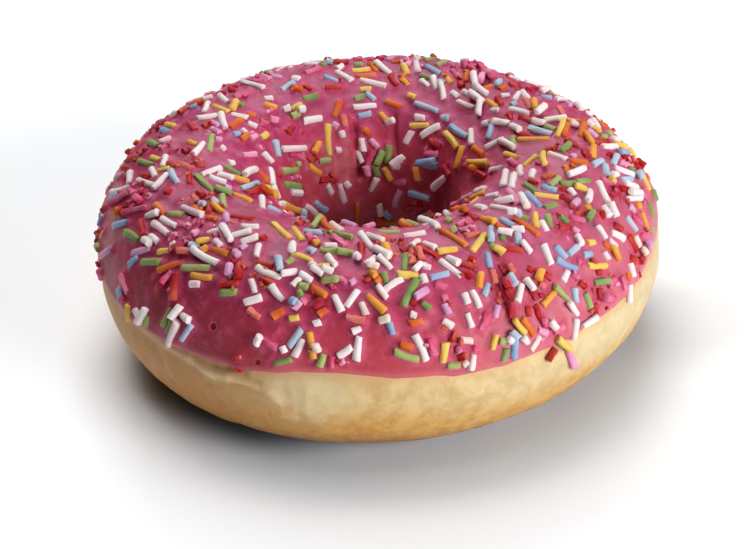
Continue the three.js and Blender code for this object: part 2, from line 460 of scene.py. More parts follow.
# %% Folds and ridges of the dough
CREASES = [  # folds of the hole's far wall: from, to, depth and width
    ((99, 132), (98, 158), 0.9 * MM, 0.55 * MM),
    ((78, 126), (74, 148), 0.7 * MM, 0.5 * MM),
]
DOUGH_FOLDS = [  # below the icing at the front left
    ((-129, 11.5), (-124, 10.5), 0.35 * MM, 0.45 * MM),
    ((-124, 10.5), (-120.5, 10.8), 0.4 * MM, 0.55 * MM),
    ((-120, 12.2), (-117, 10.8), 0.45 * MM, 0.55 * MM),
    ((-119.5, 2.8), (-114, 0.6), 0.2 * MM, 0.5 * MM),
    ((-114.5, 7), (-112, 5.5), 0.22 * MM, 0.4 * MM),
    ((-126, -4), (-125.2, -5.5), 0.35 * MM, 0.45 * MM),
    ((-133.8, -2.5), (-133.2, -2.4), 0.15 * MM, 0.4 * MM),
    ((-109, 5.5), (-108.5, 3.5), 0.15 * MM, 0.35 * MM),
]
DOUGH_RIDGES = [  # low ridges beside them, so their depth is negative
    ((-144, 12), (-136.5, 9.7), -0.25 * MM, 0.45 * MM),
    ((-136.5, 9.5), (-130, 8.5), -0.3 * MM, 0.45 * MM),
    ((-130, 8.5), (-124, 2.5), -0.28 * MM, 0.5 * MM),
    ((-125.5, 4.5), (-121, 5), -0.3 * MM, 0.8 * MM),
    ((-120.5, 6), (-114.5, 3.5), -0.28 * MM, 0.55 * MM),
    ((-113, 6), (-111, -2), -0.22 * MM, 0.75 * MM),
    ((-104.5, 6.5), (-105, -9.5), -0.14 * MM, 0.45 * MM),
    ((-110, -2.5), (-110, -15), -0.1 * MM, 0.4 * MM),
]


def strokes(around, turn, lines):
    """The depth of all the strokes in a list."""
    return sum(depth * stroke(around, turn, start, end, width) for start, end, depth, width in lines)


print(len(CREASES) + len(DOUGH_FOLDS), "folds and", len(DOUGH_RIDGES), "ridges")

# %% How deep the dough lies
LIP_STEP = 0.5 * MM
LIP_STEP_SWING = 0.3 * MM
LIP_STEP_FADE = math.radians(55)
UNDER_ICING = math.radians(9)
SEAT_DEPTH = 0.15 * MM  # how far the icing is let into the dough, so that no gap shows


def lip_step(around):
    """How far the icing's edge stands out over the bare dough."""
    return LIP_STEP - LIP_STEP_SWING * np.cos(around)


def smooth_step(value):
    """0 below 0, 1 above 1, smooth between."""
    value = np.clip(value, 0, 1)
    return value * value * (3 - 2 * value)


def dough_inset(around, turn):
    """How deep the dough lies under the ring's surface. `turn` runs from the base to the base."""
    above = turn - outer_edge(around)
    inside = inner_edge(around) - turn
    covered = np.minimum(above, inside)
    step = lip_step(around)
    bare = step * np.clip(1 + covered / LIP_STEP_FADE, 0, 1)
    seat = icing_thickness(around, turn) - SEAT_DEPTH
    return bare + (seat - bare) * smooth_step(covered / UNDER_ICING) + strokes(around, turn, CREASES)


def from_base(turn):
    """The same angle, counted from the middle of the base upwards."""
    return (turn + math.pi / 2) % (2 * math.pi) - math.pi / 2


print("bare dough lies", round(float(dough_inset(0.0, 0.0)) / MM, 2), "mm under the ring's surface")

# %% Shape the dough
DOUGH_ROWS = 40
DOUGH_COLUMNS = 118
SHADED_LEFT_SIDE = (-140, 30)  # painted shade on the left front side, browner and darker: its middle and reach, in degrees
dough = spin_ring("dough_crust", DOUGH_ROWS, DOUGH_COLUMNS)
apply_modifier(dough, "SUBSURF", levels=2, render_levels=2)
around, turn = ring_angles(dough)
turn = from_base(turn)
folds = strokes(around, turn, DOUGH_FOLDS)
ridges = strokes(around, turn, DOUGH_RIDGES)
move_to(dough, ring_point(around, turn, dough_inset(around, turn) + folds + ridges))
covered = np.minimum(turn - outer_edge(around), inner_edge(around) - turn)
store(dough, "drop", -covered * SECTION_WIDTH / MM)
# the folds' depth and the ridges' height, for painted shade in the folds and painted highlights on the
# ridges
store(dough, "shaded_fold", folds / MM)
store(dough, "highlit_ridge", -ridges / MM)
# how much painted shade each place of the left front side takes
store(dough, "left_shade", hump(around, *SHADED_LEFT_SIDE))
print(len(dough.data.polygons), "faces on the dough")


# %% Roughen the bare dough
BELOW_EDGE = math.radians(0.5)
ABOVE_TABLE = 0.2 * MM
DOUGH_RELIEFS = [(9 * MM, 0.5 * MM), (2.2 * MM, 0.14 * MM)]  # size of the lumps, depth


def displace(piece, group, size, depth):
    """Raises and sinks the vertices of a group by a cloudy texture with lumps of `size`."""
    texture = bpy.data.textures.new(f"{piece.name}_relief", "CLOUDS")
    texture.noise_scale = size
    texture.noise_depth = 2
    settings = {"texture": texture, "strength": depth, "mid_level": 0.5, "vertex_group": group}
    apply_modifier(piece, "DISPLACE", **settings)


bare = np.flatnonzero((covered < -BELOW_EDGE) & (positions(dough)[:, 2] > ABOVE_TABLE))
dough.vertex_groups.new(name="bare").add(bare.tolist(), 1.0, "REPLACE")
for size, depth in DOUGH_RELIEFS:
    displace(dough, "bare", size, depth)
shade_smooth(dough)
print(len(bare), "bare vertices roughened")

# %% [markdown]
# The dough's colour follows how far below the icing's edge a place lies: cream in the pale band,
# golden further down, light brown on the base, where it touched the oil longest. Clouds of two
# sizes break the bands up. Right at the edge the dough took up a little pink. Over that lie
# painted light and shade: painted shade on the left front, painted light on the lamp-lit right
# and in a patch on the front, painted highlights on the ridges and painted shade in the folds.


# %% Finish the dough
DOUGH_BLUR = (1.0, 0.55, 0.25)  # how far red, green and blue light spread in the crumb
CREAM = (190, 158, 102), (210, 184, 134)
GOLD = (186, 134, 60), (204, 162, 90)
BROWN = (160, 98, 40), (184, 126, 60)
# browner and darker tints of painted shade for the left front side
LEFT_SHADE_BROWN = (182, 122, 58)
LEFT_SHADE_DARK = (158, 92, 34)
LAMPLIT_SIDE = (60, -22, 10)
LAMPLIT = (190, 182, 154)
# a pale patch of painted light on the front dough, a little left of the middle
LIT_FRONT_PLACE = tuple(float(v) for v in ring_point(math.radians(-104), math.radians(5), 0))
PAINTED_LIGHT_CREAM = (226, 212, 170)
FLOUR = (222, 196, 152)
RIM = (202, 168, 112)
# painted highlights on the ridges and painted shade in the folds
RIDGE_HIGHLIGHT = (226, 202, 162)
FOLD_SHADE = (156, 108, 58)
PINK_STAIN = (206, 140, 112)


def dough_colour(finish, clouds, mottle, streaks):
    """The crust's colour: bands by the distance below the icing's edge, then tints and painted light."""
    low = finish.attribute("drop")
    drop = low + (clouds - 0.5) * 7 + (streaks - 0.5) * 2.5
    blotch = finish.step(mottle, 0.34, 0.66)
    left_shade = finish.attribute("left_shade") * (0.6 + mottle * 0.5)
    away = finish.distance(LIT_FRONT_PLACE)
    colour = finish.blotches(blotch, CREAM)
    colour = finish.mix(finish.step(drop, 4, 10.5), colour, finish.blotches(blotch, GOLD))
    colour = finish.mix(finish.step(drop, 11.5, 18), colour, finish.blotches(blotch, BROWN))
    layers = [
        # painted shade on the left front side, darker still in blotches
        (left_shade, LEFT_SHADE_BROWN),
        (left_shade * finish.step(mottle, 0.5, 0.7) * 0.4, LEFT_SHADE_DARK),
        (finish.near(LAMPLIT_SIDE, 22, 62) * (0.42 - finish.step(drop, 5, 11) * 0.34), LAMPLIT),
        # the pale patch of painted light on the front dough
        ((1 - finish.step(away + (blotch - 0.5) * 4 * MM, 3 * MM, 8 * MM)) * 0.45, PAINTED_LIGHT_CREAM),
        (finish.step(streaks, 0.5, 0.8) * 0.25, FLOUR),
        ((1 - finish.step(low + (streaks - 0.5) * 2, 0.3, 1.8)) * 0.5, RIM),
        # painted highlights on the ridges and painted shade in the folds
        (finish.attribute("highlit_ridge") * 1.7, RIDGE_HIGHLIGHT),
        (finish.attribute("shaded_fold") * 1.2, FOLD_SHADE),
        ((1 - finish.step(low + (mottle - 0.5) * 2.4, 0, 1.7)) * 0.3, PINK_STAIN),
    ]
    return finish.paint(colour, layers)


def dough_finish():
    finish = Finish("dough", Subsurface_Weight=0.2, Subsurface_Scale=0.0015, IOR=1.42)
    finish.shader.inputs["Subsurface Radius"].default_value = DOUGH_BLUR
    clouds = finish.noise(9 * MM, detail=3)
    mottle = finish.noise(2.6 * MM, detail=4, roughness=0.6)
    streaks = finish.noise(1.8 * MM, detail=3, stretch=(1.0, 1.0, 0.22))
    colour = dough_colour(finish, clouds, mottle, streaks)
    relief = finish.bump(finish.noise(0.8 * MM, detail=4, roughness=0.6), 0.09 * MM)
    finish.set(Base_Color=colour, Roughness=0.45 + mottle * 0.22, Normal=relief)
    print(len(finish.tree.nodes), "nodes in the finish of the dough")
    return finish.material


dough.data.materials.append(dough_finish())

# %% [markdown]
# ## The icing
#
# Icing this thick keeps a smooth, satin skin and ends in a rounded lip. The ring's section is
# a closed outline: out over the top in fine rows, and back underneath in a few coarse ones. The
# skin is shaped now, so that the strands can be set on it, and it is lifted round them later.

# %% Lay out the icing's rows
ICING_COLUMNS = 640
LIP_ROWS = 8
TOP_ROWS = 120
UNDER_ROWS = 12
LIP_SHARE = 0.024
UNDER_SHARE = 0.004  # how far in under the lip the underside begins


def icing_rows():
    """Shares of the way over the icing, for its upper face and then its underside."""
    lip = np.linspace(0, LIP_SHARE, LIP_ROWS, endpoint=False)
    top = np.linspace(LIP_SHARE, 1 - LIP_SHARE, TOP_ROWS)
    under = np.linspace(1 - UNDER_SHARE, UNDER_SHARE, UNDER_ROWS)
    return np.concatenate([lip, top, (1 - lip)[::-1], under]), len(lip) * 2 + len(top)


row_shares, upper_rows = icing_rows()
icing = spin_ring("icing_shell", len(row_shares), ICING_COLUMNS)
around, turn = ring_angles(icing)
row = np.round((turn % (2 * math.pi)) / (2 * math.pi) * len(row_shares)).astype(int) % len(row_shares)
is_upper = row < upper_rows
print(len(icing.data.polygons), "faces on the icing")

# %% How deep the icing's skin lies
LIP_WIDTH = math.radians(3.6)
PIT_RIM = 0.3  # how high the rim of a pit stands, as a share of its depth
PITS = [  # where burst bubbles left pits: around, turn, depth, radius
    (-124.5, 31.5, 0.36 * MM, 0.62 * MM),
    (-114, 19, 0.16 * MM, 0.5 * MM),
    (-126.5, 20.5, 0.05 * MM, 0.16 * MM),
]


def spot(around, turn, pit, width):
    """1 at a pit's place, fading over `width`."""
    at_around, at_turn = pit[:2]
    return stroke(around, turn, (at_around - 0.01, at_turn), (at_around + 0.01, at_turn), width)


def icing_inset(around, turn):
    """How deep the icing's skin lies, with its lip, creases and pits."""
    lip = np.clip(np.minimum(turn - outer_edge(around), inner_edge(around) - turn) / LIP_WIDTH, 0, 1)
    round_lip = 1 - np.sqrt(np.maximum(1 - (1 - lip) ** 2, 0))
    inset = lip_step(around) * round_lip - swell(around, turn) + strokes(around, turn, CREASES)
    for pit in PITS:
        depth, width = pit[2:]
        hole, rim = spot(around, turn, pit, width), spot(around, turn, pit, 2 * width)
        inset = inset + depth * ((1 + PIT_RIM) * hole - PIT_RIM * rim)
    return inset


front = -math.pi / 2
rim_depth = float(icing_inset(front, outer_edge(front))) / MM
print(f"at the front the icing's rim lies {rim_depth:.2f} mm under the ring's surface")

# %% Shape the icing
EDGE_RIPPLES = [(17, 0.35, 0.2), (29, -0.25, 0.3), (41, 0.2, -0.2), (67, 0.12, 0.16)]
ICING_UNEVENNESS = 0.14 * MM
UNEVEN_SIZE = 8 * MM
UNEVEN_OCTAVES = 3
NOISE_OFFSET = Vector((3.7, 1.3, 5.1))


def fractal(points, size, octaves):
    """Cloudy noise between about -1 and 1, with lumps of `size`."""
    return np.array([noise.fractal(Vector(p) / size + NOISE_OFFSET, 0.8, 2.0, octaves) for p in points])


shares = row_shares[row]
low = outer_edge(around) + np.radians(waves(EDGE_RIPPLES, around))
high = inner_edge(around) + np.radians(waves(EDGE_RIPPLES, -around))
turn = low + (high - low) * shares
uneven = fractal(ring_point(around, turn, 0.0), UNEVEN_SIZE, UNEVEN_OCTAVES)
skin = icing_inset(around, turn) - ICING_UNEVENNESS * uneven
underside = dough_inset(around, turn) + 2 * SEAT_DEPTH
move_to(icing, ring_point(around, turn, np.where(is_upper, skin, underside)))
store(icing, "crest", np.sin(np.clip(turn, 0, math.pi)) ** 2)
store(icing, "edge", np.minimum(turn - low, high - turn) * SECTION_WIDTH / MM)
shade_smooth(icing)
print("icing's lowest edge", round(float(positions(icing)[:, 2].min()) / MM, 1), "mm up")

# %% [markdown]
# ## Where the strands lie
#
# About a thousand strands were pressed on. Where the photograph shows them, each is set down one
# by one: its two ends are read off as pixels, and a ray from the camera through each pixel finds
# the place on the icing under it. The strand then belongs to the icing and looks right from any
# side. On the far side and in the hole's depths nothing shows, so there they fall by a seeded
# draw, the long ones spread evenly as in the solids. Scattering all of them by chance would be
# quicker, but chance doesn't make this doughnut's own gaps and clusters.

# %% Sizes of the strands
STRAND_RADIUS = 0.5 * MM
STRAND_RADIUS_SPREAD = 0.14 * MM
STRAND_LIFT = 0.16 * MM  # how high a strand's middle line lies over the icing
STRAND_LIFT_SPREAD = 0.16 * MM
STRAND_TILT = 0.14  # the steepest slope of a strand that lies on no other
HIGHEST_LIFT = 1.4 * MM
thickest = STRAND_RADIUS + STRAND_RADIUS_SPREAD
print(f"strands {2 * STRAND_RADIUS / MM:.1f} to {2 * thickest / MM:.1f} mm thick")

# %% Draw seeded numbers
MULTIPLIER = 48271
MODULUS = 2147483647


class Draw:
    """Seeded numbers from 0 to 1, the same in every run and on every machine."""

    def __init__(self, seed):
        self.seed = seed

    def __call__(self):
        self.seed = self.seed * MULTIPLIER % MODULUS
        return self.seed / MODULUS


print(f"the first number from seed 1 is {Draw(1)():.6f}")

# %% Kinds of strand
KINDS = {
    # kind: piece, tone from deep to pale, how much icing clings to it
    "maroon": ("red", -0.15, 0.06),
    "red": ("red", 0.07, 0.0),
    "scarlet": ("red", 0.4, 0.0),
    "salmon": ("red", 0.85, 0.12),
    "pink": ("pink", 0.32, 0.0),
    "blush": ("pink", 0.95, 0.0),
    "orange": ("orange", 0.2, 0.0),
    "amber": ("orange", 0.95, 0.0),
    "lilac": ("lilac", 0.5, 0.0),
    "green": ("green", 0.42, 0.0),
    "olive": ("green", 0.95, 0.1),
    "lime": ("green", 0.9, 0.05),
    "blue": ("blue", 0.42, 0.0),
    "sky": ("blue", 0.95, 0.0),
    "yellow": ("yellow", 0.4, 0.0),
    "cream": ("white", 1.0, 0.08),
    "rose": ("white", 0.26, 0.2),
    "white": ("white", 0.2, 0.05),
}
print(len(KINDS), "kinds")

# %% [markdown]
# The lists hold the pixels of each strand's ends as x, y, x, y, in a picture 752 pixels wide and
# 549 high. A kind lower in the table above is set down later, so it rests on what it crosses.
# The few that don't keep to that order are in a list of their own.

# %% Strands near the front edge
NEAR = {
    "maroon": [
        (157, 289, 163, 283), (322, 298, 314, 309), (531, 290, 537, 300), (599, 288, 600, 300),
        (412, 301, 416, 304), (236, 368, 242, 370), (500, 285, 507, 300), (505, 290, 511, 300),
        (508, 301, 513, 318),
        (502, 280, 506, 291),
    ],
    "red": [
        (177, 273, 172, 301), (220, 284, 239, 283), (365, 283, 371, 277), (451, 342, 456, 331),
        (460, 354, 463, 360), (464, 271, 472, 279), (544, 273, 552, 279), (579, 282, 586, 288),
        (556, 348, 548, 361), (527, 306, 529, 317), (535, 305, 540, 320), (595, 304, 597, 318),
        (260, 278, 273, 284),
    ],
    "salmon": [
        (248, 309, 260, 318), (346, 317, 365, 321), (492, 270, 496, 284), (539, 283, 545, 287),
    ],
    "pink": [
        (121, 275, 127, 293), (99, 271, 103, 278), (163, 285, 172, 271), (262, 339, 277, 348),
        (302, 303, 307, 298), (332, 356, 331, 368), (339, 278, 347, 284), (436, 284, 447, 288),
        (442, 299, 447, 297), (428, 338, 434, 356), (458, 346, 459, 353), (502, 281, 511, 289),
        (572, 274, 578, 279), (607, 282, 616, 279), (621, 276, 625, 290), (600, 297, 616, 299),
        (553, 331, 564, 326), (542, 318, 545, 327), (490, 312, 480, 330),
    ],
    "blush": [(538, 330, 547, 333), (567, 347, 574, 367)],
    "orange": [
        (312, 287, 327, 297), (318, 315, 327, 309), (272, 317, 284, 310), (375, 283, 380, 278),
        (400, 344, 413, 348), (409, 324, 423, 321), (522, 318, 534, 335), (628, 273, 628, 281),
    ],
    "amber": [
        (370, 270, 376, 279), (367, 295, 385, 312), (311, 349, 314, 359), (309, 332, 313, 348),
        (481, 272, 479, 288), (541, 270, 537, 281), (555, 292, 542, 306), (191, 275, 212, 278),
    ],
    "yellow": [
        (129, 305, 132, 320), (289, 319, 299, 317), (397, 275, 418, 275), (446, 342, 443, 363),
        (496, 334, 492, 350), (511, 319, 525, 334), (556, 336, 567, 346),
    ],
    "cream": [
        (316, 343, 319, 352), (361, 302, 366, 315), (379, 321, 390, 318), (461, 340, 473, 341),
        (540, 336, 531, 351), (463, 366, 468, 361),
    ],
    "green": [
        (220, 293, 237, 292), (171, 308, 163, 326), (173, 317, 167, 333),
        (299, 290, 301, 297), (274, 364, 292, 359), (383, 273, 387, 283), (417, 279, 403, 307),
        (422, 303, 430, 309), (594, 283, 607, 281), (507, 348, 503, 362),
    ],
    "lime": [
        (148, 315, 145, 327), (300, 285, 309, 288), (322, 280, 339, 281), (324, 354, 319, 367),
        (394, 352, 419, 360),
        (447, 366, 460, 365), (500, 341, 505, 342), (553, 286, 569, 301), (585, 293, 591, 308),
    ],
    "blue": [
        (119, 288, 121, 301), (293, 302, 297, 304), (389, 322, 393, 335), (430, 278, 449, 273),
        (489, 284, 484, 296), (515, 338, 514, 360),
    ],
    "sky": [
        (192, 324, 181, 341), (508, 276, 513, 289), (510, 331, 517, 338), (574, 288, 576, 303),
        (302, 329, 289, 347),
    ],
    "lilac": [
        (229, 272, 232, 277), (293, 309, 302, 303), (350, 284, 355, 280), (414, 299, 428, 289),
        (444, 304, 449, 314), (498, 305, 495, 318),
    ],
    "white": [
        (135, 309, 141, 325), (149, 308, 142, 324), (181, 305, 173, 320), (181, 315, 191, 321),
        (244, 303, 262, 297), (271, 286, 283, 301), (292, 286, 300, 278), (300, 274, 312, 281),
        (334, 295, 342, 312), (346, 307, 358, 290), (359, 336, 356, 361), (352, 332, 361, 328),
        (338, 357, 352, 347), (282, 346, 285, 353), (256, 345, 262, 335), (313, 324, 321, 322),
        (384, 290, 402, 279), (377, 286, 387, 299), (464, 293, 468, 304), (472, 290, 480, 308),
        (522, 284, 517, 302), (525, 279, 532, 292), (443, 320, 453, 327), (467, 313, 472, 328),
        (415, 334, 427, 361), (474, 354, 471, 371), (507, 338, 511, 341), (521, 336, 528, 343),
        (568, 271, 563, 282), (566, 302, 578, 315), (576, 318, 573, 340), (595, 317, 584, 328),
        (630, 284, 630, 303), (549, 321, 554, 329),
    ],
    "rose": [
        (190, 284, 200, 284), (251, 279, 255, 293), (303, 339, 294, 357), (179, 321, 171, 345),
        (422, 275, 425, 283), (411, 314, 416, 316),
    ],
}
print(sum(map(len, NEAR.values())), "strands near the front edge")

# %% Strands on both sides of the crest
MIDDLE = {
    "maroon": [
        (132, 196, 137, 200), (128, 203, 132, 207), (118, 207, 123, 212),
        (95, 233, 97, 242), (97, 210, 106, 207), (122, 167, 131, 172), (231, 262, 237, 259),
        (418, 246, 438, 257), (401, 251, 409, 248), (408, 210, 422, 206), (502, 272, 508, 270),
        (559, 188, 566, 190), (561, 196, 571, 203), (559, 227, 570, 227), (611, 196, 618, 192),
        (443, 167, 449, 176), (475, 172, 486, 178),
    ],
    "red": [
        (142, 174, 149, 178), (166, 194, 170, 188), (141, 220, 143, 236), (209, 203, 209, 213),
        (207, 196, 216, 199), (198, 192, 204, 197), (231, 216, 254, 219), (247, 194, 258, 190),
        (239, 263, 239, 280), (189, 173, 190, 184), (320, 180, 337, 180), (297, 225, 303, 223),
        (277, 173, 281, 178), (261, 240, 265, 237), (257, 261, 273, 267), (361, 243, 361, 257),
        (376, 244, 383, 247), (466, 213, 477, 220), (530, 180, 536, 184), (460, 263, 477, 268),
        (468, 258, 476, 261), (503, 249, 523, 251), (529, 272, 531, 267), (575, 214, 584, 211),
        (596, 273, 602, 272), (629, 236, 637, 252), (630, 257, 637, 262), (637, 263, 644, 256),
        (614, 224, 622, 231), (620, 189, 629, 190), (600, 213, 605, 218), (634, 165, 641, 169),
        (176, 246, 179, 251),
    ],
    "salmon": [
        (178, 253, 190, 251), (193, 195, 197, 203), (428, 212, 435, 218), (464, 236, 479, 233),
        (413, 249, 412, 265), (417, 250, 422, 260), (508, 266, 512, 275),
    ],
    "pink": [
        (137, 199, 142, 203), (129, 190, 134, 194),
        (110, 205, 130, 194), (121, 215, 150, 207), (177, 222, 189, 229), (136, 195, 144, 190),
        (290, 178, 299, 177), (272, 201, 277, 204), (309, 235, 312, 243), (333, 236, 345, 246),
        (193, 226, 198, 217), (213, 236, 219, 234), (169, 241, 176, 238), (183, 240, 192, 238),
        (393, 183, 406, 183), (453, 206, 467, 200), (457, 226, 470, 220), (459, 231, 472, 227),
        (570, 218, 585, 221), (602, 179, 618, 189), (632, 215, 642, 225), (642, 193, 647, 198),
        (641, 234, 645, 241), (577, 262, 583, 261),
    ],
    "blush": [
        (193, 237, 199, 231), (366, 165, 369, 175), (506, 187, 522, 210), (573, 228, 578, 233),
        (365, 229, 373, 228),
    ],
    "orange": [
        (116, 215, 122, 212), (155, 204, 165, 215), (193, 206, 204, 214), (206, 218, 218, 218),
        (212, 249, 229, 254), (158, 271, 179, 263), (258, 172, 268, 182), (257, 191, 271, 193),
        (357, 202, 357, 228), (378, 220, 396, 224), (323, 219, 331, 230), (281, 209, 290, 213),
        (452, 213, 459, 209), (461, 211, 467, 215), (496, 225, 509, 230), (514, 219, 539, 236),
        (441, 231, 467, 247), (472, 168, 480, 173), (401, 221, 410, 228), (565, 165, 568, 175),
        (546, 177, 556, 175), (603, 243, 611, 249),
    ],
    "amber": [
        (201, 251, 208, 247), (232, 177, 249, 183), (234, 194, 252, 202), (212, 207, 224, 213),
        (309, 165, 321, 174), (283, 203, 304, 213), (272, 193, 276, 199), (313, 245, 319, 243),
        (384, 247, 390, 256), (415, 167, 418, 181), (481, 218, 496, 225), (471, 199, 485, 193),
        (587, 205, 590, 212), (609, 247, 619, 260), (638, 202, 640, 209), (642, 213, 648, 232),
        (384, 167, 391, 181),
    ],
    "yellow": [
        (157, 171, 170, 168), (197, 244, 210, 239), (158, 252, 169, 250), (261, 187, 270, 188),
        (273, 223, 289, 238), (294, 228, 302, 240), (292, 253, 313, 261), (319, 266, 330, 266),
        (437, 252, 457, 249), (472, 252, 485, 235), (493, 250, 504, 255), (479, 165, 488, 166),
        (535, 213, 536, 227), (534, 195, 559, 198), (574, 187, 586, 190), (587, 243, 595, 242),
        (588, 266, 607, 266), (641, 172, 649, 190), (609, 180, 615, 182),
    ],
    "cream": [
        (311, 264, 318, 270), (368, 268, 379, 270), (333, 226, 341, 230), (635, 236, 640, 247),
        (640, 248, 643, 255),
    ],
    "green": [
        (126, 232, 139, 240), (142, 262, 161, 262), (196, 176, 213, 191), (215, 190, 232, 195),
        (225, 167, 241, 176), (284, 185, 300, 186), (375, 165, 377, 176), (336, 233, 353, 238),
        (328, 233, 334, 231), (406, 254, 404, 270), (544, 208, 557, 204), (524, 184, 536, 192),
        (522, 217, 529, 219), (560, 184, 576, 184), (576, 182, 590, 181), (547, 215, 551, 227),
        (560, 216, 568, 223), (592, 213, 586, 223), (629, 168, 636, 175), (501, 231, 503, 241),
        (649, 203, 653, 217), (652, 191, 655, 201),
    ],
    "lime": [
        (169, 214, 183, 215), (222, 195, 224, 207), (282, 171, 298, 170), (378, 231, 400, 232),
        (312, 227, 322, 225), (315, 222, 319, 217), (320, 250, 337, 252), (337, 253, 355, 254),
        (286, 264, 293, 259), (404, 214, 419, 227), (420, 218, 427, 215), (491, 244, 495, 250),
        (550, 186, 560, 178),
    ],
    "olive": [
        (182, 268, 210, 268), (95, 246, 99, 250), (447, 219, 451, 222), (451, 231, 456, 230),
        (651, 227, 653, 233),
    ],
    "blue": [
        (110, 200, 120, 194), (95, 226, 104, 215), (114, 226, 127, 222), (129, 265, 138, 257),
        (315, 202, 326, 211), (384, 212, 391, 218), (424, 165, 437, 166), (409, 193, 429, 199),
        (501, 219, 512, 226), (541, 187, 557, 191), (555, 247, 567, 258), (583, 255, 592, 254),
        (487, 253, 490, 268),
    ],
    "sky": [
        (170, 171, 177, 183), (200, 205, 206, 208), (212, 202, 218, 204), (190, 245, 199, 248),
        (241, 189, 258, 184), (268, 208, 281, 214), (304, 231, 323, 233), (308, 249, 315, 252),
        (296, 213, 303, 220), (518, 210, 518, 218), (518, 233, 518, 245), (568, 255, 578, 246),
        (626, 217, 637, 231), (621, 180, 632, 179), (634, 174, 640, 181), (605, 165, 607, 176),
        (491, 226, 491, 243),
    ],
    "lilac": [
        (110, 179, 120, 176), (133, 254, 151, 248), (226, 214, 227, 222), (225, 187, 232, 189),
        (231, 266, 230, 277), (234, 251, 239, 257), (240, 249, 246, 245), (146, 199, 151, 194),
        (400, 190, 394, 206), (463, 201, 472, 196), (572, 207, 578, 201), (629, 206, 635, 212),
        (644, 241, 648, 248), (101, 256, 111, 249), (345, 225, 356, 228),
    ],
    "white": [
        (131, 173, 129, 184), (106, 193, 129, 188), (138, 180, 154, 186), (168, 175, 153, 190),
        (151, 168, 155, 177), (146, 216, 160, 214), (161, 218, 176, 227), (201, 175, 221, 168),
        (209, 177, 226, 183), (219, 173, 233, 180), (241, 178, 256, 168), (232, 236, 252, 231),
        (222, 225, 232, 243), (193, 251, 217, 264), (150, 236, 158, 242), (144, 239, 153, 246),
        (271, 169, 274, 186), (291, 192, 301, 193), (264, 194, 263, 208), (271, 187, 279, 199),
        (278, 204, 287, 202), (241, 226, 259, 227), (241, 242, 259, 238), (259, 244, 256, 257),
        (293, 243, 292, 254), (327, 256, 336, 267), (256, 268, 281, 278), (281, 276, 297, 271),
        (312, 271, 324, 276), (323, 272, 334, 275), (360, 233, 373, 250), (374, 250, 390, 260),
        (376, 257, 365, 265), (378, 258, 392, 269), (476, 193, 486, 189), (486, 197, 498, 195),
        (476, 207, 485, 209), (494, 202, 514, 202), (490, 206, 513, 211), (506, 171, 503, 187),
        (514, 174, 511, 188), (520, 195, 527, 209), (420, 220, 433, 223), (434, 223, 439, 230),
        (443, 211, 449, 216), (507, 216, 516, 217), (541, 221, 547, 231), (497, 234, 512, 236),
        (511, 230, 524, 232), (520, 243, 531, 253), (423, 243, 436, 250), (414, 273, 421, 265),
        (440, 260, 462, 277), (447, 257, 459, 266), (543, 245, 551, 265), (567, 178, 585, 168),
        (591, 190, 586, 205), (577, 235, 580, 247), (597, 226, 606, 239), (611, 232, 624, 239),
        (630, 263, 634, 277), (598, 182, 609, 206), (607, 205, 616, 218), (624, 184, 637, 188),
        (627, 194, 641, 193), (627, 199, 641, 198), (614, 168, 633, 176), (610, 177, 618, 174),
    ],
    "rose": [
        (153, 223, 168, 234), (181, 206, 205, 221), (207, 233, 219, 230), (215, 240, 221, 247),
        (170, 246, 176, 243), (327, 184, 332, 194), (339, 184, 344, 202), (345, 182, 349, 187),
        (377, 177, 370, 191), (379, 203, 382, 214), (306, 205, 317, 215), (324, 248, 337, 246),
        (367, 234, 383, 244), (355, 257, 360, 260), (391, 165, 400, 168), (491, 171, 501, 169),
        (519, 167, 521, 176), (533, 171, 531, 178), (403, 236, 425, 233), (411, 247, 419, 241),
        (422, 265, 431, 268), (568, 190, 575, 195), (609, 240, 617, 247), (604, 252, 609, 260),
        (604, 206, 608, 218), (433, 188, 446, 177),
    ],
}
print(sum(map(len, MIDDLE.values())), "strands on both sides of the crest")

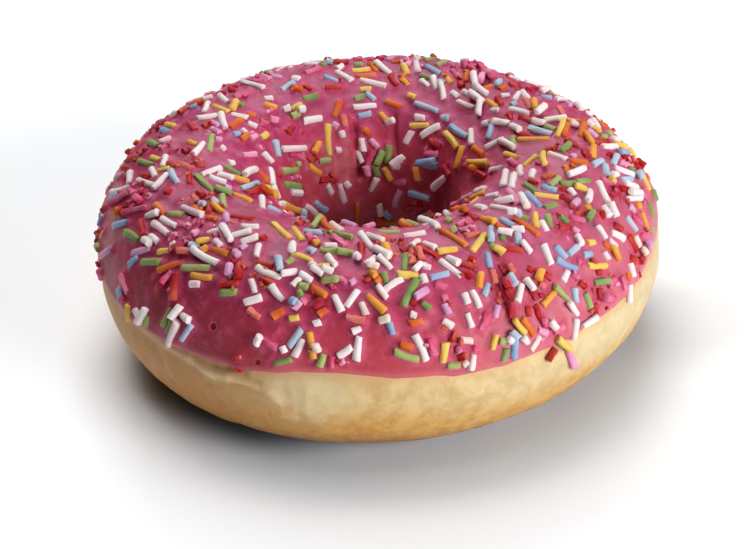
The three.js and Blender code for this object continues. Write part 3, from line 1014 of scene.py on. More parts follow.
# %% Strands towards the far edge
FAR = {
    "maroon": [
        (482, 74, 487, 78), (472, 80, 477, 84), (459, 83, 463, 87),
        (188, 122, 195, 130), (159, 139, 165, 136), (183, 153, 190, 150), (430, 140, 440, 147),
        (528, 90, 536, 88), (583, 150, 588, 158),
    ],
    "red": [
        (230, 87, 233, 92), (179, 114, 188, 108), (203, 127, 209, 124), (140, 151, 147, 150),
        (168, 163, 178, 167), (194, 159, 201, 167), (127, 162, 137, 158), (304, 85, 311, 90),
        (333, 60, 347, 64), (325, 87, 342, 87), (389, 76, 397, 86), (293, 126, 288, 134),
        (309, 161, 316, 157), (464, 66, 470, 62), (497, 98, 502, 105), (509, 113, 512, 119),
        (520, 116, 532, 122), (513, 87, 519, 84), (517, 135, 530, 133), (595, 143, 608, 142),
        (622, 157, 632, 158), (606, 153, 614, 157), (634, 161, 641, 170), (546, 149, 556, 151),
        (566, 140, 577, 147),
    ],
    "salmon": [
        (178, 163, 192, 169), (343, 115, 345, 127), (525, 99, 532, 109), (559, 108, 564, 117),
    ],
    "pink": [
        (463, 66, 468, 70), (471, 65, 476, 69), (479, 69, 484, 72), (486, 76, 492, 80),
        (234, 97, 250, 93), (155, 125, 170, 121), (160, 150, 169, 144), (250, 70, 262, 79),
        (252, 81, 266, 82), (304, 73, 320, 68), (289, 154, 304, 158), (353, 60, 362, 58),
        (368, 58, 374, 60), (378, 60, 385, 57), (401, 60, 413, 60), (452, 70, 459, 78),
        (468, 70, 477, 74), (474, 63, 480, 68), (461, 167, 475, 163), (510, 160, 517, 166),
        (537, 163, 544, 166), (372, 150, 367, 172), (425, 155, 438, 154), (260, 122, 269, 122),
    ],
    "blush": [
        (488, 69, 495, 72), (466, 59, 471, 61),
        (211, 128, 220, 133), (260, 75, 270, 79), (269, 121, 278, 121), (370, 139, 378, 148),
        (243, 155, 256, 154), (250, 139, 257, 135), (480, 84, 483, 77), (619, 163, 632, 166),
        (406, 66, 411, 62),
    ],
    "orange": [
        (197, 103, 203, 103), (230, 128, 241, 119), (246, 114, 256, 115), (241, 140, 248, 136),
        (293, 87, 303, 91), (370, 64, 376, 71), (355, 76, 376, 75), (386, 101, 401, 107),
        (340, 101, 334, 117), (364, 129, 370, 135), (391, 62, 401, 62), (400, 75, 404, 77),
        (467, 71, 466, 82), (481, 90, 493, 86), (499, 90, 506, 86), (473, 147, 483, 155),
        (585, 121, 581, 137), (601, 124, 607, 128), (568, 124, 564, 137), (569, 161, 588, 164),
    ],
    "amber": [
        (188, 142, 197, 145), (264, 104, 277, 108), (380, 113, 387, 121), (320, 142, 313, 154),
        (402, 79, 408, 85), (444, 73, 450, 83), (487, 100, 496, 107), (533, 103, 537, 114),
        (463, 146, 456, 169), (518, 140, 549, 139), (567, 120, 582, 122), (583, 136, 593, 144),
        (594, 145, 593, 159),
    ],
    "yellow": [
        (213, 106, 229, 112), (232, 111, 236, 104), (166, 125, 175, 126), (151, 157, 160, 160),
        (292, 110, 301, 104), (352, 71, 370, 69), (360, 89, 371, 89), (261, 138, 267, 134),
        (327, 124, 329, 156), (403, 66, 407, 74), (408, 95, 415, 97), (410, 126, 429, 125),
        (445, 132, 457, 148), (505, 154, 517, 158), (523, 166, 537, 156), (542, 151, 545, 170),
        (473, 168, 490, 164), (588, 123, 600, 132), (564, 124, 557, 137), (614, 144, 629, 147),
        (629, 149, 635, 158),
    ],
    "cream": [(457, 101, 474, 108), (532, 123, 545, 125), (544, 121, 566, 119)],
    "green": [
        (238, 104, 245, 106), (148, 141, 158, 146), (139, 161, 153, 165), (263, 71, 269, 72),
        (303, 99, 318, 96), (320, 65, 326, 64), (354, 65, 363, 65), (354, 99, 364, 96),
        (383, 151, 376, 166), (391, 145, 387, 164), (424, 61, 437, 58), (421, 75, 432, 79),
        (561, 152, 570, 145),
    ],
    "lime": [
        (212, 134, 209, 152), (291, 117, 299, 113), (513, 137, 513, 147), (550, 90, 555, 91),
        (607, 134, 616, 132),
    ],
    "olive": [
        (319, 161, 330, 160), (296, 165, 301, 163), (545, 126, 556, 130), (601, 138, 607, 136),
        (436, 66, 446, 62),
    ],
    "blue": [
        (190, 108, 197, 106), (162, 129, 167, 132), (358, 116, 371, 113), (233, 134, 240, 134),
        (324, 76, 338, 81), (426, 66, 440, 74), (419, 164, 437, 161), (450, 126, 467, 137),
        (492, 125, 488, 139), (541, 96, 552, 98), (619, 154, 629, 152),
    ],
    "sky": [
        (281, 90, 294, 82), (326, 63, 333, 63), (366, 93, 375, 100), (438, 81, 444, 83),
        (496, 87, 500, 81), (511, 105, 516, 103), (541, 106, 546, 108), (415, 103, 438, 111),
        (441, 118, 449, 118), (529, 130, 552, 134), (616, 157, 613, 165), (592, 165, 602, 161),
    ],
    "lilac": [
        (210, 122, 219, 126), (215, 139, 222, 140), (271, 76, 282, 77), (332, 123, 338, 127),
        (386, 60, 394, 58), (567, 105, 574, 103), (588, 131, 597, 137), (571, 157, 575, 155),
    ],
    "white": [
        (242, 83, 264, 89), (219, 95, 228, 103), (208, 103, 204, 112), (203, 100, 213, 97),
        (197, 119, 217, 116), (220, 114, 225, 128), (231, 114, 248, 118), (204, 143, 193, 155),
        (166, 156, 163, 168), (170, 118, 178, 114), (228, 163, 234, 163), (292, 78, 300, 79),
        (264, 98, 273, 98), (283, 110, 290, 109), (297, 113, 304, 112), (303, 121, 322, 118),
        (304, 62, 317, 65), (337, 69, 343, 65), (336, 72, 352, 81), (375, 65, 390, 73),
        (360, 79, 386, 86), (353, 107, 376, 105), (391, 122, 399, 121), (248, 123, 257, 127),
        (263, 153, 273, 163), (361, 138, 363, 152), (358, 151, 362, 163), (414, 57, 419, 60),
        (421, 80, 429, 86), (433, 79, 436, 89), (441, 84, 444, 99), (463, 59, 472, 59),
        (474, 78, 476, 92), (475, 91, 488, 97), (463, 91, 473, 97), (470, 96, 484, 103),
        (482, 103, 478, 116), (514, 101, 519, 93), (510, 109, 530, 114), (511, 76, 523, 78),
        (525, 82, 536, 86), (541, 92, 550, 90), (536, 118, 545, 111), (421, 136, 440, 125),
        (471, 129, 471, 145), (485, 148, 504, 139), (501, 142, 516, 150), (493, 123, 509, 123),
        (511, 125, 521, 133), (555, 99, 566, 101), (576, 105, 582, 111), (587, 112, 595, 115),
        (594, 119, 598, 127), (548, 153, 567, 160), (602, 147, 616, 148), (612, 139, 620, 140),
        (452, 92, 458, 97),
    ],
    "rose": [
        (160, 144, 171, 138), (281, 150, 306, 148), (393, 168, 402, 160), (416, 62, 418, 72),
        (415, 117, 425, 118), (405, 144, 412, 131), (395, 166, 406, 156), (242, 129, 247, 134),
        (221, 148, 225, 150), (341, 131, 343, 138), (336, 150, 341, 150), (501, 96, 510, 95),
        (491, 110, 499, 110), (482, 124, 489, 123), (570, 125, 578, 127), (585, 127, 592, 130),
        (522, 91, 527, 98),
    ],
}
print(sum(map(len, FAR.values())), "strands towards the far edge")

# %% Strands that lie across others
ACROSS = {
    "blue": [(526, 193, 540, 207), (556, 260, 577, 270)],
    "sky": [(278, 257, 281, 273), (275, 141, 279, 157)],
}
print(sum(map(len, ACROSS.values())), "strands that lie across others")

# %% [markdown]
# What a pixel shows is found as a camera does it, with a ray from the eye. A BVH tree sorts the
# faces into boxes within boxes, so that one ray is tested against a few dozen faces and not all
# of them. Along the ring's outline a ray can just miss, and is then tried a pixel further in.

# %% Look through a pixel
RING_SHOWS_AT = np.array([376.0, 215.0])  # the pixel where the ring's middle line is
OUTLINE_STEPS = 16  # how many pixels a place outside the outline may be moved in


def unit(vector):
    return vector / np.linalg.norm(vector)


def surface_tree(piece):
    vertices = [vertex.co for vertex in piece.data.vertices]
    faces = [tuple(face.vertices) for face in piece.data.polygons]
    return BVHTree.FromPolygons(vertices, faces)


trees = [surface_tree(icing), surface_tree(dough)]


def look_through(x, y):
    """The direction from the camera through a pixel of the photograph."""
    axes = camera.matrix_world.to_3x3()
    return (axes @ Vector((x - IMAGE_WIDTH / 2, IMAGE_HEIGHT / 2 - y, -FOCAL_PIXELS))).normalized()


def first_hit(origin, direction):
    """The first place on the icing or the dough along a ray, and the normal there."""
    hits = [tree.ray_cast(origin, direction) for tree in trees]
    hits = [hit for hit in hits if hit[0] is not None]
    if not hits:
        return None
    place, normal, _, _ = min(hits, key=lambda hit: hit[3])
    return place, normal


def seen_place(x, y):
    """Where a pixel shows the ring. One just outside the ring's outline is moved in to it."""
    pixel = np.array([x, y], dtype=float)
    inward = unit(RING_SHOWS_AT - pixel)
    for _ in range(OUTLINE_STEPS):
        hit = first_hit(eye, look_through(*pixel))
        if hit:
            return np.array(hit[0]), np.array(hit[1]), np.array(look_through(*pixel))
        pixel = pixel + inward
    return None


print("the ring's right-hand edge shows the place", np.round(seen_place(654, 214)[0] / MM, 1), "mm")

# %% From what shows to what carries it
STEEPEST_VIEW = 0.22
THICKEST_LIP = 2.5 * MM
SKIN_GAP = 0.02 * MM  # how far off a surface a ray starts, so that it doesn't meet that surface


def slide(place, normal, direction, lift):
    """Moves a place of the surface so that the point `lift` above it is the one that shows."""
    facing = max(-float(direction @ normal), STEEPEST_VIEW)
    return place - direction * (lift / facing) - normal * lift


def nearest(point):
    """The nearest place of the surface. Where that is dough under the icing, the icing above it."""
    hits = [tree.find_nearest(Vector(point)) for tree in trees]
    place, normal, _, _ = min(hits, key=lambda hit: hit[3])
    above, facing, _, _ = trees[0].ray_cast(place + normal * SKIN_GAP, normal, THICKEST_LIP)
    if above is not None and facing @ normal > 0:
        place, normal = above, facing
    return np.array(place), np.array(normal)


above_crest = np.array([30 * MM, 0, 35 * MM])
print("under a point above the crest the icing lies at", np.round(nearest(above_crest)[0] / MM, 1), "mm")

# %% [markdown]
# A strand is kept as what decides its shape: the place on the icing under its middle, the
# direction in which it lies, the icing's normal there, and its length, thickness, height over
# the icing and slope. Its mesh comes much later, when all of them have settled.


# %% One strand
@dataclass
class Strand:
    point: np.ndarray
    axis: np.ndarray
    normal: np.ndarray
    length: float
    radius: float = STRAND_RADIUS
    lift: float = STRAND_LIFT
    rise: float = 0.0
    highest: float = HIGHEST_LIFT
    kind: str = "white"


print("a strand keeps", ", ".join(Strand.__annotations__))

# %% Place a strand on the icing
STRAND_LONGEST_SEEN = 5.7 * MM
STRAND_SHORTEST_SEEN = 1.0 * MM
LEAST_SPAN = 0.1 * MM
BEDDING_SHARE = 0.9  # where along its half a strand is tested for what lies under it


def strand_between(start, end, draw):
    """A strand from one point near the surface to another."""
    middle, normal = nearest((start + end) / 2)
    span = end - start
    along = span - normal * float(span @ normal)
    size = float(np.linalg.norm(along))
    rise = float(np.clip((span @ normal) / max(size, LEAST_SPAN), -STRAND_TILT, STRAND_TILT))
    length = float(np.clip(np.linalg.norm(span), STRAND_SHORTEST_SEEN, STRAND_LONGEST_SEEN))
    strand = Strand(middle, along / max(size, 1e-9), normal, length, rise=rise)
    strand.radius = STRAND_RADIUS + STRAND_RADIUS_SPREAD * draw()
    strand.lift = bedding(strand) + STRAND_LIFT_SPREAD * draw()
    return strand


def bedding(strand):
    """The lift at which a strand lies on the surface, also where that is hollow."""
    reach = strand.length / 2 * strand.axis
    gaps = []
    for share in (-BEDDING_SHARE, BEDDING_SHARE):
        end = strand.point + share * (reach + strand.normal * strand.rise * strand.length / 2)
        place, normal = nearest(end)
        gaps.append(float((end - place) @ normal))
    return STRAND_LIFT + max(0.0, -min(gaps))


print(f"one that shows is {STRAND_SHORTEST_SEEN / MM:.1f} to {STRAND_LONGEST_SEEN / MM:.1f} mm long")

# %% From two pixels to a strand
LIFT_FOR_VIEW = 0.35 * MM  # the height over the icing at which a strand's middle line is seen
DEEPEST_RUN = 1.9  # how much further a strand reaches along the line of sight than across it
RIM_LIFT = 0.45 * MM  # the highest lift on the outline, where a raised strand stands out most
RIM_LIFT_GAIN = 2.4 * MM  # how much higher it may be where the icing faces the camera


def seen_strand(x0, y0, x1, y1, draw):
    """A strand whose ends show at two pixels."""
    ends = [seen_place(x0, y0), seen_place(x1, y1)]
    if any(end is None for end in ends):
        return None
    start, end = (slide(*seen, LIFT_FOR_VIEW) for seen in ends)
    sight = unit(ends[0][2] + ends[1][2])
    depth = float((end - start) @ sight)
    sideways = end - start - depth * sight
    furthest = DEEPEST_RUN * float(np.linalg.norm(sideways))
    half = (sideways + float(np.clip(depth, -furthest, furthest)) * sight) / 2
    middle = (start + end) / 2
    if abs(depth) > furthest:  # its ends show on two walls, so it lies on the nearer one
        middle = start + half if depth > 0 else end - half
    strand = strand_between(middle - half, middle + half, draw)
    facing = max(-float(sight @ strand.normal), 0.0)
    strand.highest = min(HIGHEST_LIFT, RIM_LIFT + RIM_LIFT_GAIN * facing)
    return strand


trial = seen_strand(*NEAR["white"][0], Draw(1))
print("the first white strand is", round(trial.length / MM, 2), "mm long")

# %% [markdown]
# Strands rest on each other. A physics simulation could drop them all, but it would shake each
# one away from where the photograph shows it. Here each strand is a row of balls. A new one is
# lifted and tilted just until its balls lie on those below, and is then kept where it is.

# %% Settle strands on each other
SAMPLE_SPACING = 0.5 * MM
BALL_INSET = 0.5  # how far the end balls lie inside a strand's ends, as a share of its radius
LEVELS_APART = 4  # strands further apart than this many radii aren't on each other
SLOPE_ARM = 0.75  # the lever of a strand that tips over another, as a share of its length
STEEPEST_RISE = 0.32
TOUCH = 0.8  # strands that cross sink into each other a little, because the icing softens them


class Heap:
    """The strands laid so far, as rows of balls along each, for resting new ones on."""

    def __init__(self):
        self.strands = []
        self.centres = np.empty((0, 3))
        self.radii = np.empty(0)

    def balls(self, strand):
        count = max(2, round(strand.length / SAMPLE_SPACING) + 1)
        reach = strand.length / 2 - strand.radius * BALL_INSET
        steps = np.linspace(-reach, reach, count)
        heights = strand.lift + strand.rise * steps
        return steps, strand.point + np.outer(steps, strand.axis) + np.outer(heights, strand.normal)

    def settle(self, strand):
        """Lifts and tilts a strand so that it rests on those below."""
        steps, centres = self.balls(strand)
        gap = self.centres[None, :, :] - centres[:, None, :]
        up = gap @ strand.normal
        flat = np.sqrt(np.maximum((gap**2).sum(axis=2) - up**2, 0))
        reach = (self.radii[None, :] + strand.radius) * TOUCH
        need = np.where(flat < reach, up + np.sqrt(np.maximum(reach**2 - flat**2, 0)), 0)
        need = np.where(np.abs(up) < LEVELS_APART * strand.radius, need, 0).max(axis=1, initial=0)
        half = len(steps) // 2
        slope = (need[half:].max() - need[:half].max()) / (strand.length * SLOPE_ARM)
        slope = float(np.clip(slope, -STEEPEST_RISE, STEEPEST_RISE))
        strand.rise += slope
        strand.lift += float((need - slope * steps).max())
        return strand.lift < strand.highest

    def add(self, strand, always=False):
        """Lays a strand. One that would stand too high is left out, or pushed down if `always`."""
        if not self.settle(strand) and not always:
            return False
        strand.lift = min(strand.lift, strand.highest)
        _, centres = self.balls(strand)
        self.centres = np.vstack([self.centres, centres])
        self.radii = np.append(self.radii, np.full(len(centres), strand.radius))
        self.strands.append(strand)
        return True


print("a strand 3 mm long is", len(Heap().balls(Strand(*np.eye(3), 3 * MM))[0]), "balls")

# %% Lay the strands that show
PERCENTILES = [5, 25, 50, 75, 95]
hand_draw = Draw(7321)
heap = Heap()
missed = 0
for areas in ((NEAR, MIDDLE, FAR), (ACROSS,)):
    for kind in KINDS:
        for area in areas:
            for ends in area.get(kind, []):
                strand = seen_strand(*ends, hand_draw)
                if strand is None:
                    missed += 1
                    continue
                strand.kind = kind
                heap.add(strand, always=True)
print(len(heap.strands), "strands laid by hand,", missed, "missed")
print("lifts", np.round(np.percentile([s.lift / MM for s in heap.strands], PERCENTILES), 2), "mm")
print("lengths", np.round(np.percentile([s.length / MM for s in heap.strands], PERCENTILES), 2), "mm")

# %% [markdown]
# The strands that don't show are drawn: a place, a direction and a length each. The draw is a
# short sum with a fixed seed, so that it gives the same strands in every run. A few patches stay
# nearly bare, as such icing has them, and nothing reaches over its edges. The longest strands
# catch the eye, so each of those tries a few places and takes the emptiest.

# %% A random place on the icing
NUDGE = 1e-3
STRAND_EDGE_MARGIN = 6  # in degrees of the section
BARE_PATCHES = [  # around, turn and their widths, in degrees
    (-120, 33, 15, 11),
    (-90, 24, 6, 12),
    (-161, 32, 9, 9),
    (-148, 106, 8, 9),
    (117, 101, 7, 10),
    (60, 40, 9, 14),
]
BARE_SHARE = 0.97


def icing_frame(around, turn):
    """A point of the plain icing, two directions along it and its normal."""

    def at(a, t):
        return ring_point(a, t, -swell(a, t))

    along = unit(at(around + NUDGE, turn) - at(around - NUDGE, turn))
    over = unit(at(around, turn + NUDGE) - at(around, turn - NUDGE))
    normal = unit(np.cross(along, over))
    return at(around, turn), along, np.cross(normal, along), normal


def bareness(around, turn):
    """How bare the icing is at one place, from 0 to 1."""
    return max(hump(around, a, wide) * hump(turn, t, high) for a, t, wide, high in BARE_PATCHES)


def draw_strand(draw, length):
    """A strand at a random place. One that would reach over an edge of the icing is drawn again."""
    while True:
        around = 2 * math.pi * draw()
        share = draw()
        heading = math.pi * draw()
        kept = draw()
        low = outer_edge(around)
        high = inner_edge(around)
        turn = low + (high - low) * share
        radius = CENTRE_RADIUS + SECTION_WIDTH * math.cos(turn)
        margin = math.radians(STRAND_EDGE_MARGIN) + abs(math.sin(heading)) * length / 2 / SECTION_WIDTH
        inside = low + margin < turn < high - margin
        room = radius * (1 - BARE_SHARE * bareness(around, turn))
        if inside and kept * (CENTRE_RADIUS + SECTION_WIDTH) < room:
            point, along, across, normal = icing_frame(around, turn)
            axis = along * math.cos(heading) + across * math.sin(heading)
            return Strand(point, axis, normal, length)


print("the barest patch lies", BARE_PATCHES[0][:2], "degrees round the ring and its section")

# %% Draw the others by chance
STRANDS_ON_RING = 700
STRANDS_EVEN = 185
MORE_BEHIND = 520  # so that the far side is as full as the side that shows
STRAND_SHORTEST = 0.9 * MM
STRAND_LONGEST = 5.4 * MM
STRAND_LENGTH_POWER = 1.2
STRAND_TRIALS = 5
FIRST_SEED = 20117


def strand_length(number):
    rank = (1 - number / STRANDS_ON_RING) ** STRAND_LENGTH_POWER
    return STRAND_SHORTEST + (STRAND_LONGEST - STRAND_SHORTEST) * rank


def finish_draw(strand, draw):
    strand.radius = STRAND_RADIUS + STRAND_RADIUS_SPREAD * draw()
    strand.lift = STRAND_LIFT + STRAND_LIFT_SPREAD * draw()
    strand.rise = STRAND_TILT * (2 * draw() - 1)
    return strand


def spread_evenly(count, draw):
    """The longest strands. Each takes the emptiest of a few places."""
    laid = []
    for number in range(count):
        trials = [draw_strand(draw, strand_length(number)) for _ in range(STRAND_TRIALS)]
        rooms = [
            min([RING_DIAMETER] + [float(np.linalg.norm(other.point - strand.point)) for other in laid])
            for strand in trials
        ]
        laid.append(finish_draw(trials[rooms.index(max(rooms))], draw))
    return laid


draw = Draw(FIRST_SEED)
drawn = spread_evenly(STRANDS_EVEN, draw)
for number in range(STRANDS_EVEN, STRANDS_ON_RING):
    drawn.append(finish_draw(draw_strand(draw, strand_length(number)), draw))
for number in range(MORE_BEHIND):
    rank = STRANDS_EVEN + number % (STRANDS_ON_RING - STRANDS_EVEN)
    drawn.append(finish_draw(draw_strand(draw, strand_length(rank)), draw))
print(len(drawn), "strands drawn, the first at", np.round(drawn[0].point / MM, 2))

# %% [markdown]
# Of the drawn strands only those are laid that the camera doesn't see. A ray from each to the
# camera tells. Some lie just behind the outline and peep over it, and the photograph shows few
# there, so these are kept short and deep in the icing.

# %% What the camera sees
FACING_SEEN = 0.2


def in_sight(point):
    """Whether nothing stands between a point and the camera."""
    towards = unit(np.array(eye) - point)
    return first_hit(Vector(point), Vector(towards)) is None


def is_seen(strand):
    """Whether the camera sees the place where a strand lies."""
    towards = unit(np.array(eye) - strand.point)
    return float(towards @ strand.normal) >= FACING_SEEN and in_sight(strand.point + strand.normal * MM)


def peeps_out(strand):
    """Whether the top of a strand shows somewhere along it."""
    tops = heap.balls(strand)[1] + strand.radius * strand.normal
    return any(in_sight(top) for top in tops)


print("the camera sees", sum(map(is_seen, drawn)), "of the strands drawn")

# %% Lay those that the camera doesn't see
OUTLINE_LIFT = -0.1 * MM
OUTLINE_LIFT_SPARE = 0.05 * MM
OUTLINE_LONGEST = 2.6 * MM
KIND_SHARES = {
    "white": 0.24,
    "rose": 0.07,
    "cream": 0.03,
    "pink": 0.13,
    "blush": 0.04,
    "red": 0.07,
    "maroon": 0.03,
    "salmon": 0.02,
    "orange": 0.07,
    "amber": 0.06,
    "yellow": 0.08,
    "green": 0.06,
    "lime": 0.03,
    "blue": 0.035,
    "sky": 0.035,
    "lilac": 0.04,
}


def draw_kind(draw):
    pick = draw() * sum(KIND_SHARES.values())
    for kind, share in KIND_SHARES.items():
        pick -= share
        if pick < 0:
            return kind
    return kind


kind_draw = Draw(4711)
before = len(heap.strands)
for strand in drawn:
    strand.kind = draw_kind(kind_draw)
    if is_seen(strand):
        continue
    if peeps_out(strand):
        strand.length = min(strand.length, OUTLINE_LONGEST)
        strand.lift = OUTLINE_LIFT
        strand.highest = OUTLINE_LIFT + OUTLINE_LIFT_SPARE
    heap.add(strand)
print(len(heap.strands) - before, "more on the sides that don't show")

# %% [markdown]
# Strands break when they are shaken, and the red and pink ones of this mix are the softest, so
# crumbs of them lie beside whole ones. Each crumb is a strand as short as it is thick. It is
# dropped near a whole one and settles like the rest, and it is left out where it would lie on
# the dough or on top of others.

# %% Add crumbs of broken sugar
CRUMBS = 900  # how many are dropped
CRUMB_CHANCES = {"maroon": 1, "red": 0.8, "salmon": 0.5, "pink": 1, "blush": 0.6, "orange": 0.2}
CRUMB_KINDS = {  # what the crumbs beside a strand are, so that reds and pinks mix
    "maroon": ("maroon", "scarlet", "red", "pink"),
    "red": ("red", "scarlet", "orange", "scarlet"),
    "pink": ("pink", "pink", "scarlet", "blush"),
}
CRUMB_SHORTEST = 0.45 * MM
CRUMB_SPREAD = 0.55 * MM
CRUMB_SCATTER = 2.6 * MM
CRUMB_THICKNESS = (0.3, 0.15)  # its least radius as a share of its length, and the spread
CRUMB_LIFT = (0.1, 0.5)  # the same for its height over the icing, as a share of its radius
HIGHEST_CRUMB = 0.8 * MM


def crumb_near(strand, draw):
    """A crumb that broke off a strand and lies beside it."""
    aside = np.cross(strand.normal, strand.axis)
    offset = (draw() - 0.5) * strand.length * strand.axis + (draw() - 0.5) * 2 * CRUMB_SCATTER * aside
    at = Vector(strand.point + offset)
    on_icing, on_dough = (tree.find_nearest(at) for tree in trees)
    if on_dough[3] < on_icing[3]:
        return None
    place, normal = np.array(on_icing[0]), np.array(on_icing[1])
    heading = math.pi * draw()
    along = unit(np.cross(normal, aside))
    axis = along * math.cos(heading) + np.cross(normal, along) * math.sin(heading)
    length = CRUMB_SHORTEST + CRUMB_SPREAD * draw()
    kinds = CRUMB_KINDS.get(strand.kind, (strand.kind,))
    crumb = Strand(place, axis, normal, length, kind=kinds[int(draw() * len(kinds))])
    crumb.radius = length * (CRUMB_THICKNESS[0] + CRUMB_THICKNESS[1] * draw())
    crumb.lift = crumb.radius * (CRUMB_LIFT[0] + CRUMB_LIFT[1] * draw())
    return crumb


crumb_draw = Draw(1213)
sources = [s for s in heap.strands if crumb_draw() < CRUMB_CHANCES.get(s.kind, 0)]
before = len(heap.strands)
for number in range(CRUMBS):
    crumb = crumb_near(sources[int(crumb_draw() * len(sources))], crumb_draw)
    if crumb and heap.settle(crumb) and crumb.lift < HIGHEST_CRUMB:
        heap.add(crumb)
print(len(heap.strands) - before, "crumbs from", len(sources), "strands")

# %% [markdown]
# ## Icing round the strands
#
# Soft icing climbs a little up every strand that is pressed into it, and that is what makes the
# strands look set rather than glued on. The climb is worked out from the distance to the nearest
# strand, found with a k-d tree. Red strands also bleed, so their distance is kept for the colour.

# %% Lift the icing round the strands
CLIMB_HEIGHT = 0.32 * MM
CLIMB_REACH = 0.42 * MM
CLIMB_LIMIT = 0.75 * MM  # strands that lie higher than this don't touch the icing
STAIN_REACH = 0.9 * MM
DARK_STAIN_REACH = 1.3 * STAIN_REACH
FADE_POWER = 1.3


def closeness(points, centres, radii, reach):
    """1 at the skin of the nearest ball, fading over `reach`."""
    tree = kdtree.KDTree(len(centres))
    for number, centre in enumerate(centres):
        tree.insert(centre, number)
    tree.balance()
    close = np.zeros(len(points))
    for number, point in enumerate(points):
        _, ball, distance = tree.find(point)
        close[number] = math.exp(-((max(distance - radii[ball], 0.0) / reach) ** FADE_POWER))
    return close


def balls_of(strands):
    """The centres and radii of the balls along some strands."""
    rows = [heap.balls(strand)[1] for strand in strands]
    radii = [np.full(len(row), strand.radius) for row, strand in zip(rows, strands)]
    return np.vstack(rows), np.concatenate(radii)


points = positions(icing)
sunk = [strand for strand in heap.strands if strand.lift < CLIMB_LIMIT]
rise = closeness(points, *balls_of(sunk), CLIMB_REACH)
bleeding = [strand for strand in sunk if strand.kind in ("maroon", "red", "pink", "salmon")]
bleed = closeness(points, *balls_of(bleeding), STAIN_REACH)
maroon = [strand for strand in sunk if strand.kind == "maroon"]
dark_red = closeness(points, *balls_of(maroon), DARK_STAIN_REACH)
move_to(icing, ring_point(around, turn, np.where(is_upper, skin - CLIMB_HEIGHT * rise, underside)))
store(icing, "climb", rise)
store(icing, "bleed", bleed)
store(icing, "dark_red", dark_red)
print(f"{(rise > 0.5).mean():.0%} of the icing climbs up strands")


# %% [markdown]
# The icing isn't one pink. Painted light lies on it: a cool painted sheen towards the crest,
# a painted sheen on the right front, where the front lamp lights it, painted shade on its left
# flank and in the hole, and painted highlights close to all strands, where it climbs up them. It
# is also milky on the front of the crest and spotted where grains of colour dissolved. Round the
# red strands it is stained. Painting a picture for it would tie it to one side.

# %% The icing's tints
ICING_LOW = (162, 52, 62), (184, 67, 77)
# the crest's pink, more magenta: its own colour with a painted cool reflection of the sky in it
ICING_CREST_PINK_AND_SHEEN = (146, 34, 80), (168, 51, 99)
# painted sheen on the right front, where the front lamp lights the icing
LAMPLIT_RIGHT_FRONT = (56, -30, 18)  # in millimetres, as the next three
PAINTED_SHEEN_PINK = (198, 130, 142)
FRONT_CREST = (-2, -26, 31)
MILKY_PINK = (206, 116, 144)
# painted shade on the left flank, away from the lamps
SHADED_LEFT_FLANK = (-38, -26, 14)
PAINTED_SHADE_PINK = (108, 25, 46)
# painted shade on the hole's right-hand wall
SHADED_HOLE_WALL = (12, 5, 19)
HOLE_SHADE_RED = (82, 12, 30)
STREAK_PINK = (204, 88, 134)
DIM_PINK = (130, 22, 70)
DISSOLVED_RED = (176, 24, 64)
# painted highlights where the icing climbs up the strands
MENISCUS_HIGHLIGHT_PINK = (206, 92, 136)
SPECK_PINK = (220, 130, 164)
EDGE_PINK = (206, 118, 124)
BLEED_RED = (180, 18, 66)
STAIN_RED = (146, 8, 28)
PIT_RIM_PINK = (188, 90, 104)
PIT_RED = (112, 14, 20)
print("red and pink in the icing, from", ICING_LOW[0], "to", STAIN_RED)

# %% Colour the icing
PIT_RIM_SHARE = 1.25
PIT_WOBBLE = 0.5
PIT_FADE = (0.8, 1.1)


def pit_mask(finish, pit, share):
    """1 inside a pit, out to a share of its radius."""
    at_around, at_turn = np.radians(pit[:2])
    middle = tuple(float(v) for v in ring_point(at_around, at_turn, -swell(at_around, at_turn)))
    wobble = finish.noise(0.9 * MM) - 0.5
    reach = pit[3] * share
    away = finish.distance(middle) + wobble * (PIT_WOBBLE * pit[3])
    return 1 - finish.step(away, PIT_FADE[0] * reach, PIT_FADE[1] * reach)


